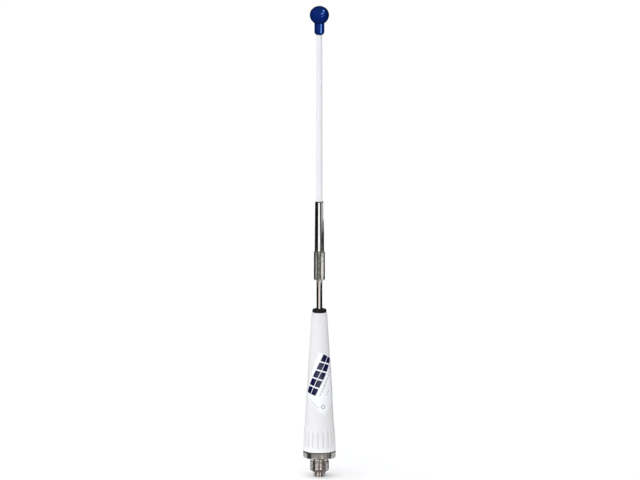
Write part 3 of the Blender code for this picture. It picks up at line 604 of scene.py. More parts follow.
def make_label_film():
    """White film printed with a row of leaning blue bars, dashed rules and a ring, and no lettering."""
    finish = principled("label_film", 0.18, coat=0.5, coat_roughness=0.06)
    flat = add_node(finish, "ShaderNodeAttribute", attribute_name="flat").outputs["Vector"]
    parts = add_node(finish, "ShaderNodeSeparateXYZ", {"Vector": flat})
    along, across = parts.outputs["X"], parts.outputs["Y"]

    def less(value, factor, other):
        return calculate(finish, "SUBTRACT", value, calculate(finish, "MULTIPLY", other, factor))

    def both(first, second):
        return calculate(finish, "MULTIPLY", first, second)

    def either(first, second):
        return calculate(finish, "ADD", first, second)

    risen = less(across, ROW_RISE, calculate(finish, "SUBTRACT", along, ROW_START))
    leaning = less(along, BAR_LEAN, calculate(finish, "SUBTRACT", risen, ROW_FOOT))
    counted = calculate(finish, "DIVIDE", calculate(finish, "SUBTRACT", leaning, BAR_START), BAR_PITCH)
    within = calculate(finish, "FRACT", counted)
    bars = band(finish, within, 0.02, BAR_WIDTH / BAR_PITCH, 0.01)
    bars = both(bars, calculate(finish, "SUBTRACT", 1.0, band(finish, risen, *BAR_LINE)))
    row = both(band(finish, counted, 0.0, BAR_COUNT, 0.005), band(finish, risen, ROW_FOOT, ROW_TOP))
    blue = both(bars, row)
    dashes = calculate(finish, "FRACT", calculate(finish, "MULTIPLY", along, DASHES_PER_MM))
    dashes = band(finish, dashes, *DASH_SPAN, 0.02)
    printed = 0.0
    for low, high, start, end in RULES:
        rule = both(band(finish, risen, low, high), band(finish, along, start, end))
        printed = either(both(rule, dashes), printed)
    border = both(band(finish, less(along, BORDER_LEAN, across), *BORDER), band(finish, across, *BORDER_SPAN))
    aside = [calculate(finish, "SUBTRACT", value, place) for value, place in zip((along, across), RING_MARK)]
    apart = calculate(finish, "SQRT", either(*[both(value, value) for value in aside]))
    for line in (border, band(finish, apart, *RING_SIZE)):
        printed = either(line, printed)
    clouds = noise(finish, 14.0, detail=2.0)
    film = tint(finish, spread(finish, clouds, 0.0, 1.0), (0.93, 0.94, 0.96), (0.89, 0.90, 0.93))
    ruled = tint(finish, calculate(finish, "MINIMUM", printed, 1.0), film, (0.20, 0.21, 0.27))
    connect(finish, tint(finish, blue, ruled, (0.004, 0.004, 0.050)), "Base Color")
    connect(finish, spread(finish, clouds, 0.16, 0.26), "Roughness")
    connect(finish, bump(finish, noise(finish, 4.0, detail=2.0), 0.015), "Normal")
    return finish


# ---- Pieces on the base ----


def stub_limit(z, radius):
    """Trims the mounting thread to its lead-in chamfer below and its relief groove above."""
    lead_in = STUB_RADIUS - STUB_CHAMFER + (z - STUB_BOTTOM)
    return min(radius, lead_in, RELIEF_RADIUS + (RELIEF_BOTTOM - z))


def make_base_fitting(finish):
    _, cup_top, flange_radius = node_span("base_fitting")
    shell_radius = node_span("connector_shell")[2] + TOUCH
    shell_top = node_span("connector_shell")[1] + TOUCH
    root = STUB_RADIUS - STUB_THREAD_SHARE * STUB_PITCH
    shape = new_shape()
    thread(shape, STUB_BOTTOM, RELIEF_BOTTOM, STUB_PITCH, root, STUB_RADIUS, stub_limit)
    outside = [
        (RELIEF_RADIUS, RELIEF_BOTTOM),
        (RELIEF_RADIUS, RELIEF_TOP),
        (STUB_RADIUS, RELIEF_TOP),
        (STUB_RADIUS, 0.0),
        *arc(flange_radius - FLANGE_ROUNDING, FLANGE_ROUNDING, FLANGE_ROUNDING, -90, 0, 8),
        (flange_radius, FLANGE_TOP - FLANGE_CHAMFER),
        (flange_radius - FLANGE_CHAMFER, FLANGE_TOP),
        (SPIGOT_RADIUS, FLANGE_TOP),
        (SPIGOT_RADIUS, SPIGOT_TOP),
        (CUP_RADIUS, SPIGOT_TOP),
        (CUP_RADIUS, cup_top),
        (CUP_BORE_RADIUS, cup_top),
        (CUP_BORE_RADIUS, CUP_FLOOR),
        (WIRE_BORE_RADIUS, CUP_FLOOR),
        (WIRE_BORE_RADIUS, shell_top),
        (shell_radius, shell_top),
        (shell_radius, STUB_BOTTOM),
        (STUB_RADIUS - STUB_CHAMFER, STUB_BOTTOM),
    ]
    revolve(shape, softened(outside, 0.3))
    piece("mounting_fitting", shape, finish, "base", "chromed_brass", "base_fitting")


def make_base_gasket(finish):
    _, _, radius = node_span("base_gasket")
    foot, top = FLANGE_TOP + TOUCH, node_span("cone_cover")[0] - TOUCH
    bore = SPIGOT_RADIUS + TOUCH
    shape = new_shape()
    revolve_ring(shape, [(bore, foot), (radius, foot), (radius, top), (bore, top)], 0.35)
    piece("foot_gasket", shape, finish, "base", "black_rubber", "base_gasket")


def make_connector_shell(finish):
    bottom, top, radius = node_span("connector_shell")
    root = radius - CONNECTOR_THREAD_SHARE * CONNECTOR_PITCH
    relief = root - 0.1
    neck = STUB_BOTTOM - 0.8

    def limit(z, thread_radius):
        return min(thread_radius, relief + (z - bottom), relief + (neck - z))

    shape = new_shape()
    thread(shape, bottom, neck, CONNECTOR_PITCH, root, radius, limit)
    rest = [
        (relief, neck),
        (relief, neck + 0.5),
        (radius, neck + 0.7),
        (radius, top),
        (WIRE_BORE_RADIUS, top),
        (WIRE_BORE_RADIUS, CONNECTOR_BORE_TOP),
        (CONNECTOR_BORE_RADIUS, CONNECTOR_BORE_TOP),
        (CONNECTOR_BORE_RADIUS, bottom + 0.4),
        (CONNECTOR_BORE_RADIUS + 0.4, bottom),
        (relief, bottom),
    ]
    revolve(shape, rest)
    piece("connector_barrel", shape, finish, "base", "chromed_brass", "connector_shell")


def make_connector_insulator(finish):
    bottom, top, _ = node_span("connector_insulator")
    inner = node_span("connector_contact")[2] + TOUCH
    outer = CONNECTOR_BORE_RADIUS - TOUCH
    section = [
        (inner, bottom),
        (inner + 1.0, bottom),
        (inner + 1.2, bottom + 0.5),
        (outer - 0.8, bottom + 0.5),
        (outer - 0.6, bottom),
        (outer, bottom),
        (outer, top),
        (inner, top),
    ]
    shape = new_shape()
    revolve_ring(shape, section, 0.15)
    piece("connector_dielectric", shape, finish, "base", "white_dielectric", "connector_insulator")


def make_connector_contact(finish):
    """Split socket: four fingers with slots between them, on a solid stem with a solder cup."""
    bottom, top, radius = node_span("connector_contact")
    bore_floor, slot_top = bottom + CONTACT_BORE_DEPTH, bottom + CONTACT_SLOT_DEPTH
    cup_floor = top - SOLDER_CUP_DEPTH
    stem = [
        (0.0, bore_floor),
        (CONTACT_BORE_RADIUS, bore_floor),
        (CONTACT_BORE_RADIUS, slot_top),
        (radius, slot_top),
        (radius, -2.0),
        (SOLDER_CUP_RADIUS, -1.0),
        (SOLDER_CUP_RADIUS, top),
        (SOLDER_CUP_BORE, top),
        (SOLDER_CUP_BORE, cup_floor),
        (0.0, cup_floor),
    ]
    shape = new_shape()
    revolve(shape, stem, 48)
    finger = softened(
        [
            (CONTACT_BORE_RADIUS, slot_top),
            (CONTACT_BORE_RADIUS, bottom + 0.4),
            (CONTACT_BORE_RADIUS + 0.3, bottom),
            (radius - 0.25, bottom),
            (radius, bottom + 0.3),
            (radius, slot_top),
        ],
        0.1,
    )
    turn = math.tau / CONTACT_FINGERS
    for i in range(CONTACT_FINGERS):
        angles = steps_between(i * turn + HALF_SLOT, (i + 1) * turn - HALF_SLOT, 10)
        columns = [[shape.verts.new(on_circle(r, angle, z)) for r, z in finger] for angle in angles]
        for left, right in zip(columns, columns[1:]):
            for j in range(len(finger) - 1):
                shape.faces.new((left[j], right[j], right[j + 1], left[j + 1]))
        shape.faces.new(columns[0])
        shape.faces.new(columns[-1])
    piece("contact_socket", shape, finish, "base", "brass", "connector_contact")


def cone_radius(z):
    """Outer radius of the cone's plain skin."""
    share = (z - RIM_TOP) / (node_span("cone_cover")[1] - RIM_TOP)
    straight = CONE_FOOT_RADIUS + (CONE_TOP_RADIUS - CONE_FOOT_RADIUS) * share
    return straight + 4 * CONE_BULGE * share * (1 - share)


def cone_skin(angle, z):
    """Radius and hollow share of the cone's ribbed and rimmed skin."""
    swell = abs(math.sin(RIB_COUNT * (angle - FIRST_GROOVE) / 2)) ** 0.5
    rib_top = RIB_TOP - RIB_ARCH * (1 - swell)
    rib = ease((rib_top - z) / RIB_RUN_OUT)
    rim = ease((RIM_TOP + 1.2 - z) / 1.6)
    raised = RIM_HEIGHT * rim + RIB_HEIGHT * swell * rib * (1 - rim)
    return cone_radius(z) + raised, (1 - swell) * rib * (1 - rim)


def make_cone(finish):
    foot, top, _ = node_span("cone_cover")
    rim_radius = cone_radius(RIM_TOP) + RIM_HEIGHT
    shoulder = top - CONE_SHOULDER
    inner_top = top - MOUTH_DEPTH - CONE_WALL
    inner_foot = SPIGOT_TOP + CONE_WALL
    bore = SPIGOT_RADIUS + TOUCH
    heights = [
        *steps_between(foot + CONE_FOOT_ROUNDING, RIM_TOP - 0.6, 4),
        *steps_between(RIM_TOP - 0.4, RIM_TOP + 1.4, 9),
        *steps_between(RIM_TOP + 3.0, RIB_TOP - RIB_RUN_OUT - RIB_ARCH - 1.0, 6),
        *steps_between(RIB_TOP - RIB_RUN_OUT - RIB_ARCH, RIB_TOP + 0.5, 24),
        *steps_between(RIB_TOP + 4.0, shoulder, 40),
    ]
    sides = RIB_COUNT * RIB_STEPS
    shape = new_shape()
    skin(shape, sides, heights, cone_skin)
    centre = cone_skin(FIRST_GROOVE, heights[0])[0] - CONE_FOOT_ROUNDING
    edge = arc(centre, foot + CONE_FOOT_ROUNDING, CONE_FOOT_ROUNDING, -90, 0, 5)
    revolve(shape, [(bore, foot), (rim_radius - 0.8, foot), *edge[1:]], sides)
    over = [
        *arc(cone_radius(shoulder) - CONE_SHOULDER, shoulder, CONE_SHOULDER, 0, 90, 6),
        (MOUTH_RADIUS, top),
        (MOUTH_RADIUS, top - MOUTH_DEPTH),
        *[(cone_radius(z) - CONE_WALL, z) for z in steps_between(inner_top, inner_foot + CONE_WALL, 6)],
        (bore, inner_foot),
        (bore, foot),
    ]
    revolve(shape, over, sides)
    piece("ribbed_cone", shape, finish, "base", "white_nylon", "cone_cover")


def on_cone(across, up, lift):
    """A point of the flat label wrapped round the cone, lift above its skin."""
    low = cone_radius(LABEL_Z)
    cone_top = node_span("cone_cover")[1]
    slope = (low - cone_radius(cone_top)) / (cone_top - LABEL_Z)
    apex = low / slope
    reach = math.hypot(across, apex - up)
    turn = math.atan2(across, apex - up) * math.hypot(1.0, slope) / slope
    z = LABEL_Z + apex - reach
    return on_circle(cone_radius(z) + lift, LABEL_TURN + turn - math.pi / 2, z)


def make_label(finish):
    """The label's outline with rounded corners, cut into small cells, thickened and wrapped on the cone."""
    shape = new_shape()
    outline = softened(LABEL_CORNERS, LABEL_CORNER_RADIUS, closed=True, steps=6)
    shape.faces.new([shape.verts.new((x, y, 0.0)) for x, y in outline])
    xs, ys = zip(*LABEL_CORNERS)
    for values, normal in ((xs, (1, 0, 0)), (ys, (0, 1, 0))):
        cells = math.ceil((max(values) - min(values)) / LABEL_CELL)
        for value in steps_between(min(values), max(values), cells)[1:-1]:
            everything = [*shape.verts, *shape.edges, *shape.faces]
            bmesh.ops.bisect_plane(shape, geom=everything, plane_co=Vector(normal) * value, plane_no=normal)
    raised = bmesh.ops.extrude_face_region(shape, geom=list(shape.faces))["geom"]
    top = [item for item in raised if isinstance(item, bmesh.types.BMVert)]
    bmesh.ops.translate(shape, vec=(0, 0, LABEL_THICKNESS), verts=top)
    along = (Vector(LABEL_CORNERS[1]) - Vector(LABEL_CORNERS[0])).normalized()
    across = Vector((-along.y, along.x))
    flat = shape.verts.layers.float_vector.new("flat")
    for point in shape.verts:
        place = Vector(point.co.xy)
        point[flat] = (place.dot(along), place.dot(across), 0.0)
        point.co = on_cone(place.x, place.y, LABEL_LIFT + point.co.z)
    piece("cone_sticker", shape, finish, "base", "label_film", "cone_label")


def make_grommet(finish):
    foot, top, radius = node_span("seal_grommet")
    bore = node_span("mast_rod")[2] + TOUCH
    seat = node_span("cone_cover")[1] + TOUCH
    spigot = MOUTH_RADIUS - TOUCH
    crest = radius - GROMMET_ROUNDING
    section = [
        *arc(crest, top - GROMMET_ROUNDING, GROMMET_ROUNDING, 0, 100, 8),
        (crest - 1.1, top - 0.75),
        (bore + 1.5, top - 1.35),
        (bore + 0.5, top - 1.1),
        (bore, top - 0.7),
        (bore, foot),
        (spigot, foot),
        (spigot, seat),
        (radius - 0.8, seat),
        (radius, seat + 0.7),
    ]
    shape = new_shape()
    revolve_ring(shape, section, 0.25)
    piece("rubber_grommet", shape, finish, "base", "black_rubber", "seal_grommet")


def make_rod(finish):
    foot, top, radius = node_span("mast_rod")
    root = STUD_RADIUS - STUD_THREAD_SHARE * STUD_PITCH
    relief = root - 0.1
    undercut = SHOULDER_Z + 1.2

    def limit(z, thread_radius):
        return min(thread_radius, relief + (z - undercut), relief + (top - z))

    shape = new_shape()
    thread(shape, undercut, top, STUD_PITCH, root, STUD_RADIUS, limit, SMALL_SIDES)
    body = [
        (0.0, foot),
        (radius - 0.5, foot),
        (radius, foot + 0.5),
        (radius, SHOULDER_Z - 0.35),
        (radius - 0.35, SHOULDER_Z),
        (relief, SHOULDER_Z),
        (relief, undercut),
    ]
    revolve(shape, softened(body, 0.12), SMALL_SIDES)
    revolve(shape, [(relief, top), (0.0, top)], SMALL_SIDES)
    piece("steel_rod", shape, finish, "base", "stainless_steel", "mast_rod")


def make_coupling_seal(finish):
    _, top, radius = node_span("coupling_seal")
    foot, bore = SHOULDER_Z + TOUCH, STUD_RADIUS - 0.1
    shape = new_shape()
    revolve_ring(shape, [(bore, foot), (radius, foot), (radius, top), (bore, top)], 0.3, SMALL_SIDES)
    piece("stud_seal", shape, finish, "base", "black_rubber", "coupling_seal")


# ---- Pieces that move ----


def make_nut(finish):
    """The coupling nut: diamond knurl outside; mouth, thread, cavity and clip groove inside."""
    foot, top, radius = node_span("coupling_nut")
    mouth = node_span("mast_rod")[2] + CLEARANCE
    clip_low, clip_high, _ = node_span("retaining_clip")
    sides = KNURL_COUNT * KNURL_STEPS
    pitch = math.tau * radius / KNURL_COUNT / math.tan(KNURL_LEAN)
    low, high = foot + 1.2, top - 1.1

    def knurled(angle, z):
        turned, risen = KNURL_COUNT * angle / math.tau, (z - low) / pitch
        ridges = [1 - abs(2 * ((turned + sign * risen) % 1.0) - 1) for sign in (1, -1)]
        height = min(1.0, min(ridges) / KNURL_FLANK)
        edge = ease((z - low) / 0.5) * ease((high - z) / 0.5)
        hollow_share = (1 - height) * edge
        return radius - KNURL_DEPTH * hollow_share, hollow_share

    rows = round((high - low) / pitch * 2 * KNURL_STEPS)
    shape = new_shape()
    skin(shape, sides, steps_between(low, high, rows), knurled)

    def limit(z, thread_radius):
        fade = ease((z - NUT_SHOULDER_Z) / STUD_PITCH) * ease((NUT_THREAD_TOP - z) / STUD_PITCH)
        return NUT_THREAD_RADIUS + (thread_radius - NUT_THREAD_RADIUS) * fade

    crest = NUT_THREAD_RADIUS + 0.45
    thread(shape, NUT_SHOULDER_Z, NUT_THREAD_TOP, STUD_PITCH, NUT_THREAD_RADIUS, crest, limit, sides)
    lower = [
        (radius, low),
        (radius, foot + NUT_CHAMFER),
        (radius - NUT_CHAMFER, foot),
        (mouth, foot),
        (mouth, NUT_SHOULDER_Z),
        (NUT_THREAD_RADIUS, NUT_SHOULDER_Z),
    ]
    upper = [
        (NUT_THREAD_RADIUS, NUT_THREAD_TOP),
        (NUT_CAVITY_RADIUS, NUT_THREAD_TOP),
        (NUT_CAVITY_RADIUS, clip_low - CLEARANCE),
        (CLIP_GROOVE_RADIUS, clip_low - CLEARANCE),
        (CLIP_GROOVE_RADIUS, clip_high + CLEARANCE),
        (NUT_CAVITY_RADIUS, clip_high + CLEARANCE),
        (NUT_CAVITY_RADIUS, top),
        *arc(radius - NUT_ROUNDING, top - NUT_ROUNDING, NUT_ROUNDING, 90, 0, 7),
        (radius, high),
    ]
    revolve(shape, softened(lower, 0.2), sides)
    revolve(shape, upper, sides)
    piece("knurled_coupling", shape, finish, "coupling_nut", "knurled_steel", "coupling_nut")


def make_ferrule(finish):
    foot, top, _ = node_span("whip_ferrule")
    bore = WHIP_FOOT_RADIUS + TOUCH
    collar_top = FERRULE_COLLAR_Z + FERRULE_COLLAR_HEIGHT
    body = [
        (0.0, foot),
        (FERRULE_SPIGOT_RADIUS - 0.5, foot),
        (FERRULE_SPIGOT_RADIUS, foot + 0.5),
        (FERRULE_SPIGOT_RADIUS, FERRULE_COLLAR_Z),
        (FERRULE_COLLAR_RADIUS, FERRULE_COLLAR_Z),
        (FERRULE_COLLAR_RADIUS, collar_top),
        (FERRULE_SPIGOT_RADIUS, collar_top),
        (FERRULE_SPIGOT_RADIUS, FERRULE_SHOULDER_Z),
        (FERRULE_FOOT_RADIUS - 0.3, FERRULE_SHOULDER_Z),
        (FERRULE_FOOT_RADIUS, FERRULE_SHOULDER_Z + 0.3),
        (FERRULE_TOP_RADIUS, top - FERRULE_CHAMFER),
        (FERRULE_TOP_RADIUS - FERRULE_CHAMFER, top),
        (bore, top),
        (bore, FERRULE_BORE_FLOOR_Z),
        (0.0, FERRULE_BORE_FLOOR_Z),
    ]
    shape = new_shape()
    revolve(shape, softened(body, 0.25))
    piece("tapered_ferrule", shape, finish, "upper_section", "stainless_steel", "whip_ferrule")


def make_whip(finish):
    foot, top, _ = node_span("fibreglass_whip")
    shape = new_shape()
    outside = [
        (WHIP_FOOT_RADIUS + (WHIP_TOP_RADIUS - WHIP_FOOT_RADIUS) * share, foot + (top - foot) * share)
        for share in steps_between(0.0, 1.0, 40)
    ]
    profile = [(WHIP_BORE_RADIUS, foot), *outside, (WHIP_BORE_RADIUS, top), (WHIP_BORE_RADIUS, foot)]
    revolve(shape, profile, SMALL_SIDES)
    piece("white_whip", shape, finish, "upper_section", "white_gelcoat", "fibreglass_whip")


def make_cap(finish):
    """Bore, neck, concave fillet and ball. The fillet's circle touches the ball and the neck."""
    foot, top, ball_radius = node_span("tip_cap")
    bore_top = node_span("fibreglass_whip")[1] + TOUCH
    bore = WHIP_TOP_RADIUS + 0.08
    fillet_r = CAP_NECK_RADIUS + BALL_FILLET
    fillet_z = BALL_Z - math.sqrt((ball_radius + BALL_FILLET) ** 2 - fillet_r**2)
    meeting = math.degrees(math.atan2(BALL_Z - fillet_z, -fillet_r))
    lip = [
        (0.0, bore_top),
        (bore, bore_top),
        (bore, foot),
        (CAP_BORE_RADIUS + CAP_LIP, foot),
        (CAP_NECK_RADIUS, foot + CAP_TAPER),
        (CAP_NECK_RADIUS, foot + CAP_NECK_FOOT),
    ]
    shape = new_shape()
    profile = [
        *softened(lip, 0.5, steps=4),
        *arc(fillet_r, fillet_z, BALL_FILLET, 180, meeting, 12),
        *arc(0, BALL_Z, ball_radius, meeting - 180, 0, 20)[1:],
        *arc(0, BALL_Z, ball_radius, 0, 90, 28, height=top - BALL_Z)[1:-1],
        (0.0, top),
    ]
    revolve(shape, profile)
    piece("ball_cap", shape, finish, "upper_section", "blue_plastic", "tip_cap")


# ---- CAD nodes that keep their shape ----


def finish_inner_nodes(finishes):
    """Gives each CAD node that still shows the finish of its own material slot."""
    slots = {part["node"]: part["material_slot"] for part in frame["record"]["subparts"]}
    for name, node in frame["nodes"].items():
        if node.hide_render:
            continue
        for slot in node.material_slots:
            slot.material = finishes[slots[name]]


# ---- Stage: floor, light and camera ----

FLOOR_RADIUS = 20.0
BACKDROP_HEIGHT = 9.0
SKY_BRIGHT_SIDE = (-38.0, 58.0)
SKY_MIDDLE = 0.23
SKY_SWING = 1.52
CAMERA_ELEVATION = 10.0
CAMERA_DISTANCE = 10.0
CAMERA_LENS = 420.0
AIM_RIGHT = 0.0008
AIM_UP = 0.0030

WARM = (1.0, 0.91, 0.86)
NEUTRAL = (1.0, 1.0, 1.0)
COOL = (0.95, 0.94, 1.0)
SKY_BLUE = (0.22, 0.47, 1.0)

# Studio cards that only reflections see, as rings round the object. Each ring has its foot and top in
# metres and its bands: start and end azimuth, brightness and colour. Azimuth 0 is the camera's side,
# positive towards +X. Metal about a sixth of the ring's radius above a card mirrors it to the camera.
RING_RADIUS = 0.5
RINGS = {
    "stub_cards": (-0.155, -0.1045, (
        (-180, -87, 1.10, NEUTRAL),
        (-87, -52, 0.03, WARM),
        (-52, -16, 1.60, WARM),
        (-16, 11, 0.55, WARM),
        (11, 25, 2.60, WARM),
        (25, 88, 0.28, WARM),
        (88, 120, 1.30, COOL),
        (120, 180, 0.10, WARM),
    )),
    "flange_cards": (-0.1045, -0.060, (
        (-180, -98, 0.50, NEUTRAL),
        (-98, -60, 0.050, NEUTRAL),
        (-60, -25, 0.28, WARM),
        (-25, 20, 0.34, WARM),
        (20, 50, 0.36, WARM),
        (50, 74, 0.20, WARM),
        (74, 92, 0.045, NEUTRAL),
        (92, 180, 0.50, NEUTRAL),
    )),
    "rod_cards": (0.05, 0.153, (
        (-180, -166, 0.90, NEUTRAL),
        (-166, -44, 0.004, NEUTRAL),
        (-44, -16, 0.70, NEUTRAL),
        (-16, 22, 1.25, WARM),
        (22, 40, 0.30, NEUTRAL),
        (40, 166, 0.004, NEUTRAL),
        (166, 180, 0.90, NEUTRAL),
    )),
    "nut_cards": (0.153, 0.1915, (
        (-180, -166, 0.80, NEUTRAL),
        (-166, -88, 0.02, NEUTRAL),
        (-88, -54, 1.40, NEUTRAL),
        (-54, 34, 0.02, WARM),
        (34, 92, 2.80, NEUTRAL),
        (92, 166, 0.02, NEUTRAL),
        (166, 180, 0.80, NEUTRAL),
    )),
    "ferrule_foot_cards": (0.1915, 0.228, (
        (-180, -144, 0.35, NEUTRAL),
        (-144, -31, 0.010, NEUTRAL),
        (-31, 10, 1.50, NEUTRAL),
        (10, 28, 0.40, NEUTRAL),
        (28, 180, 0.04, NEUTRAL),
    )),
    "ferrule_middle_cards": (0.228, 0.242, (
        (-180, -144, 0.35, NEUTRAL),
        (-144, -31, 0.006, NEUTRAL),
        (-31, 11, 1.50, NEUTRAL),
        (11, 34, 0.12, NEUTRAL),
        (34, 180, 0.24, NEUTRAL),
    )),
    "ferrule_cards": (0.242, 0.31, (
        (-180, -144, 0.35, NEUTRAL),
        (-144, -31, 0.006, NEUTRAL),
        (-31, 13, 1.50, NEUTRAL),
        (13, 42, 0.004, NEUTRAL),
        (42, 100, 0.52, NEUTRAL),
        (100, 180, 1.05, NEUTRAL),
    )),
    "edge_card": (0.36, 0.45, ((140, 220, 1.0, NEUTRAL),)),
    "neck_card": (0.4985, 0.5295, ((27, 54, 44.0, SKY_BLUE),)),
}
WALL_RADIUS = 4.0
WALL_FOOT = -1.0
WALL_TOP = 2.2
WALL_BANDS = (
    (-180, -100, 0.02, NEUTRAL),
    (-100, -50, 0.03, NEUTRAL),
    (-50, 20, 0.08, NEUTRAL),
    (20, 90, 0.03, NEUTRAL),
    (90, 180, 0.02, NEUTRAL),
)
# Below the wall, seen only in views from higher up.
PIT_FLOOR = -4.0
PIT_BANDS = (
    (-180, -125, 0.50, NEUTRAL),
    (-125, -70, 0.08, NEUTRAL),
    (-70, -10, 0.60, NEUTRAL),
    (-10, 60, 0.12, NEUTRAL),
    (60, 120, 0.50, NEUTRAL),
    (120, 180, 0.10, NEUTRAL),
)
# Azimuth, elevation, width, height and brightness, seen from the cap.
WINDOWS = ((82.0, 50.0, 0.38, 0.38, 46.0), (42.0, 25.0, 0.96, 0.22, 30.0))
WINDOW_DISTANCE = 1.2
# A dark disc that keeps the bright ring cards out of the cap's reflections.
CAP_SHADE_Z = 0.455
CAP_SHADE_RADIUS = 0.75
CAP_SHADE_GLOW = 0.02
CEILING_GLOW = 0.12
PIT_GLOW = 0.20
# Foot, top, radius and brightness.
FOOT_LIGHT = (-0.006, 0.006, 0.05, 1.7)


def direction(azimuth, elevation):
    """From the object towards an azimuth and elevation in degrees. Azimuth 0 is the camera's side."""
    a, e = math.radians(azimuth), math.radians(elevation)
    return Vector((math.sin(a) * math.cos(e), -math.cos(a) * math.cos(e), math.sin(e)))


def stage_object(name, shape, material):
    """Makes a bmesh in metres part of the stage."""
    mesh = mesh_from(name, shape)
    mesh.materials.append(material)
    made = bpy.data.objects.new(name, mesh)
    bpy.context.scene.collection.objects.link(made)
    return made


def make_floor():
    shape = bmesh.new()
    bmesh.ops.create_circle(shape, cap_ends=True, segments=96, radius=FLOOR_RADIUS)
    paint = principled("floor_paint", 0.9)
    colour_by(paint, noise(paint, 400.0, detail=2.0), (0.95, 0.95, 0.95), (0.93, 0.93, 0.93))
    shader_of(paint).inputs["Specular IOR Level"].default_value = 0.0
    floor = stage_object("floor", shape, paint)
    floor.location.z = cad_lowest.z
    floor.visible_glossy = False


def glow(name, strength, colour):
    """A plain emission that lights nothing by itself. It is only seen, directly or in reflections."""
    made = bpy.data.materials.new(name)
    made.use_nodes = True
    tree = made.node_tree
    tree.nodes.clear()
    lamp = tree.nodes.new("ShaderNodeEmission")
    lamp.inputs["Strength"].default_value = strength
    lamp.inputs["Color"].default_value = (*colour, 1.0)
    out = tree.nodes.new("ShaderNodeOutputMaterial")
    tree.links.new(lamp.outputs["Emission"], out.inputs["Surface"])
    made.cycles.emission_sampling = "NONE"
    return made


def reflected_only(card):
    card.visible_camera = False
    card.visible_diffuse = False
    card.visible_transmission = False
    card.visible_volume_scatter = False
    card.visible_shadow = False


def make_card(name, start, end, foot, top, radius, strength, colour):
    """A curved card round the object that only reflections see."""
    shape = bmesh.new()
    columns = []
    for azimuth in steps_between(start, end, max(2, round(abs(end - start) / 6))):
        side = direction(azimuth, 0.0) * radius
        columns.append([shape.verts.new((side.x, side.y, z)) for z in (foot, top)])
    for left, right in zip(columns, columns[1:]):
        shape.faces.new((left[0], right[0], right[1], left[1]))
    card = stage_object(name, shape, glow(name, strength, colour))
    reflected_only(card)
    return card


def make_bands(name, foot, top, radius, bands):
    for i, (start, end, strength, colour) in enumerate(bands, start=1):
        make_card(f"{name}_{i}", start, end, foot, top, radius, strength, colour)


def make_backdrop():
    """A plain white screen far behind the floor, on every side. It gives no light of its own."""
    radius = FLOOR_RADIUS - 0.1
    shape = bmesh.new()
    bmesh.ops.create_cone(shape, segments=96, radius1=radius, radius2=radius, depth=BACKDROP_HEIGHT)
    screen = stage_object("backdrop", shape, glow("backdrop", 1.0, NEUTRAL))
    screen.location.z = cad_lowest.z + BACKDROP_HEIGHT / 2
    reflected_only(screen)
    screen.visible_glossy = False
    screen.visible_camera = True


def make_disc(name, height, radius, strength):
    shape = bmesh.new()
    bmesh.ops.create_circle(shape, cap_ends=True, segments=48, radius=radius)
    disc = stage_object(name, shape, glow(name, strength, NEUTRAL))
    disc.location.z = height
    reflected_only(disc)


def make_reflections():
    for name, (foot, top, bands) in RINGS.items():
        make_bands(name, foot, top, RING_RADIUS, bands)
    make_bands("wall_band", WALL_FOOT, WALL_TOP, WALL_RADIUS, WALL_BANDS)
    make_disc("ceiling", WALL_TOP, WALL_RADIUS, CEILING_GLOW)
    make_bands("pit_band", PIT_FLOOR, WALL_FOOT, WALL_RADIUS, PIT_BANDS)
    make_disc("pit", PIT_FLOOR, WALL_RADIUS, PIT_GLOW)
    make_disc("cap_shade", CAP_SHADE_Z, CAP_SHADE_RADIUS, CAP_SHADE_GLOW)


def make_foot_light():
    """A low ring of light that only matt surfaces see. It lifts the rim of the cone."""
    ring = make_card("foot_light", -180, 180, *FOOT_LIGHT, NEUTRAL)
    ring.visible_glossy = False
    ring.visible_diffuse = True
    ring.active_material.cycles.emission_sampling = "AUTO"


def make_sky():
    """Soft light from all round, brightest over the camera's left shoulder."""
    world = bpy.data.worlds.new("studio")
    world.use_nodes = True
    tree = world.node_tree
    place = tree.nodes.new("ShaderNodeTexCoord")
    facing = tree.nodes.new("ShaderNodeVectorMath")
    facing.operation = "DOT_PRODUCT"
    facing.inputs[1].default_value = direction(*SKY_BRIGHT_SIDE)
    tree.links.new(place.outputs["Generated"], facing.inputs[0])
    ramp = tree.nodes.new("ShaderNodeMapRange")
    ramp.inputs["From Min"].default_value = -SKY_MIDDLE / SKY_SWING
    ramp.inputs["From Max"].default_value = 1.0
    ramp.inputs["To Min"].default_value = 0.0
    ramp.inputs["To Max"].default_value = SKY_MIDDLE + SKY_SWING
    tree.links.new(facing.outputs["Value"], ramp.inputs["Value"])
    tree.links.new(ramp.outputs["Result"], tree.nodes["Background"].inputs["Strength"])
    tree.nodes["Background"].inputs["Color"].default_value = (0.98, 0.985, 1.0, 1.0)
    bpy.context.scene.world = world


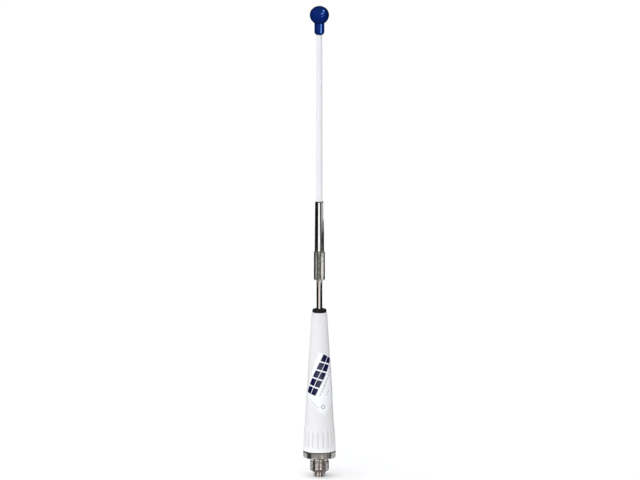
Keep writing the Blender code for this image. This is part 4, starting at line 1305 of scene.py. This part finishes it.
def make_highlights(ball):
    """Two small windows, which show as the glints high on the right of the cap."""
    for i, (azimuth, elevation, width, height, strength) in enumerate(WINDOWS, start=1):
        shape = bmesh.new()
        corners = ((-1, -1), (1, -1), (1, 1), (-1, 1))
        shape.faces.new([shape.verts.new((x * width / 2, y * height / 2, 0.0)) for x, y in corners])
        window = stage_object(f"window_{i}", shape, glow(f"window_{i}", strength, SKY_BLUE))
        toward = direction(azimuth, elevation)
        window.location = ball + toward * WINDOW_DISTANCE
        window.rotation_mode = "QUATERNION"
        window.rotation_quaternion = toward.to_track_quat("Z", "Y")
        reflected_only(window)


def make_camera(middle):
    data = bpy.data.cameras.new("camera")
    data.lens = CAMERA_LENS
    data.clip_start = 0.1
    data.clip_end = 400.0
    camera = bpy.data.objects.new("camera", data)
    back = direction(0.0, CAMERA_ELEVATION)
    target = middle + Vector((AIM_RIGHT, 0.0, AIM_UP))
    camera.location = target + back * CAMERA_DISTANCE
    camera.rotation_mode = "QUATERNION"
    camera.rotation_quaternion = (-back).to_track_quat("-Z", "Y")
    bpy.context.scene.collection.objects.link(camera)
    bpy.context.scene.camera = camera


def main():
    finishes = {
        "chromed_brass": make_chrome(),
        "stainless_steel": make_stainless(),
        "knurled_steel": make_knurled_steel(),
        "brass": make_brass(),
        "copper": make_copper(),
        "tinned_steel": make_tinned(),
        "white_nylon": make_white_nylon(),
        "white_gelcoat": make_white_gelcoat(),
        "black_rubber": make_black_rubber(),
        "blue_plastic": make_blue_plastic(),
        "label_film": make_label_film(),
        "white_dielectric": make_white_dielectric(),
        "former_plastic": make_former_plastic(),
        "capacitor_glaze": make_capacitor_glaze(),
    }
    make_base_fitting(finishes["chromed_brass"])
    make_base_gasket(finishes["black_rubber"])
    make_connector_shell(finishes["chromed_brass"])
    make_connector_insulator(finishes["white_dielectric"])
    make_connector_contact(finishes["brass"])
    make_cone(finishes["white_nylon"])
    make_label(finishes["label_film"])
    make_grommet(finishes["black_rubber"])
    make_rod(finishes["stainless_steel"])
    make_coupling_seal(finishes["black_rubber"])
    make_nut(finishes["knurled_steel"])
    make_ferrule(finishes["stainless_steel"])
    make_whip(finishes["white_gelcoat"])
    make_cap(finishes["blue_plastic"])
    finish_inner_nodes(finishes)
    middle = Vector((0.0, 0.0, (cad_lowest.z + cad_highest.z) / 2))
    make_floor()
    make_backdrop()
    make_reflections()
    make_foot_light()
    make_sky()
    make_highlights(Vector((0.0, 0.0, BALL_Z * MM)))
    make_camera(middle)
    bpy.context.scene.view_settings.view_transform = "Standard"


main()
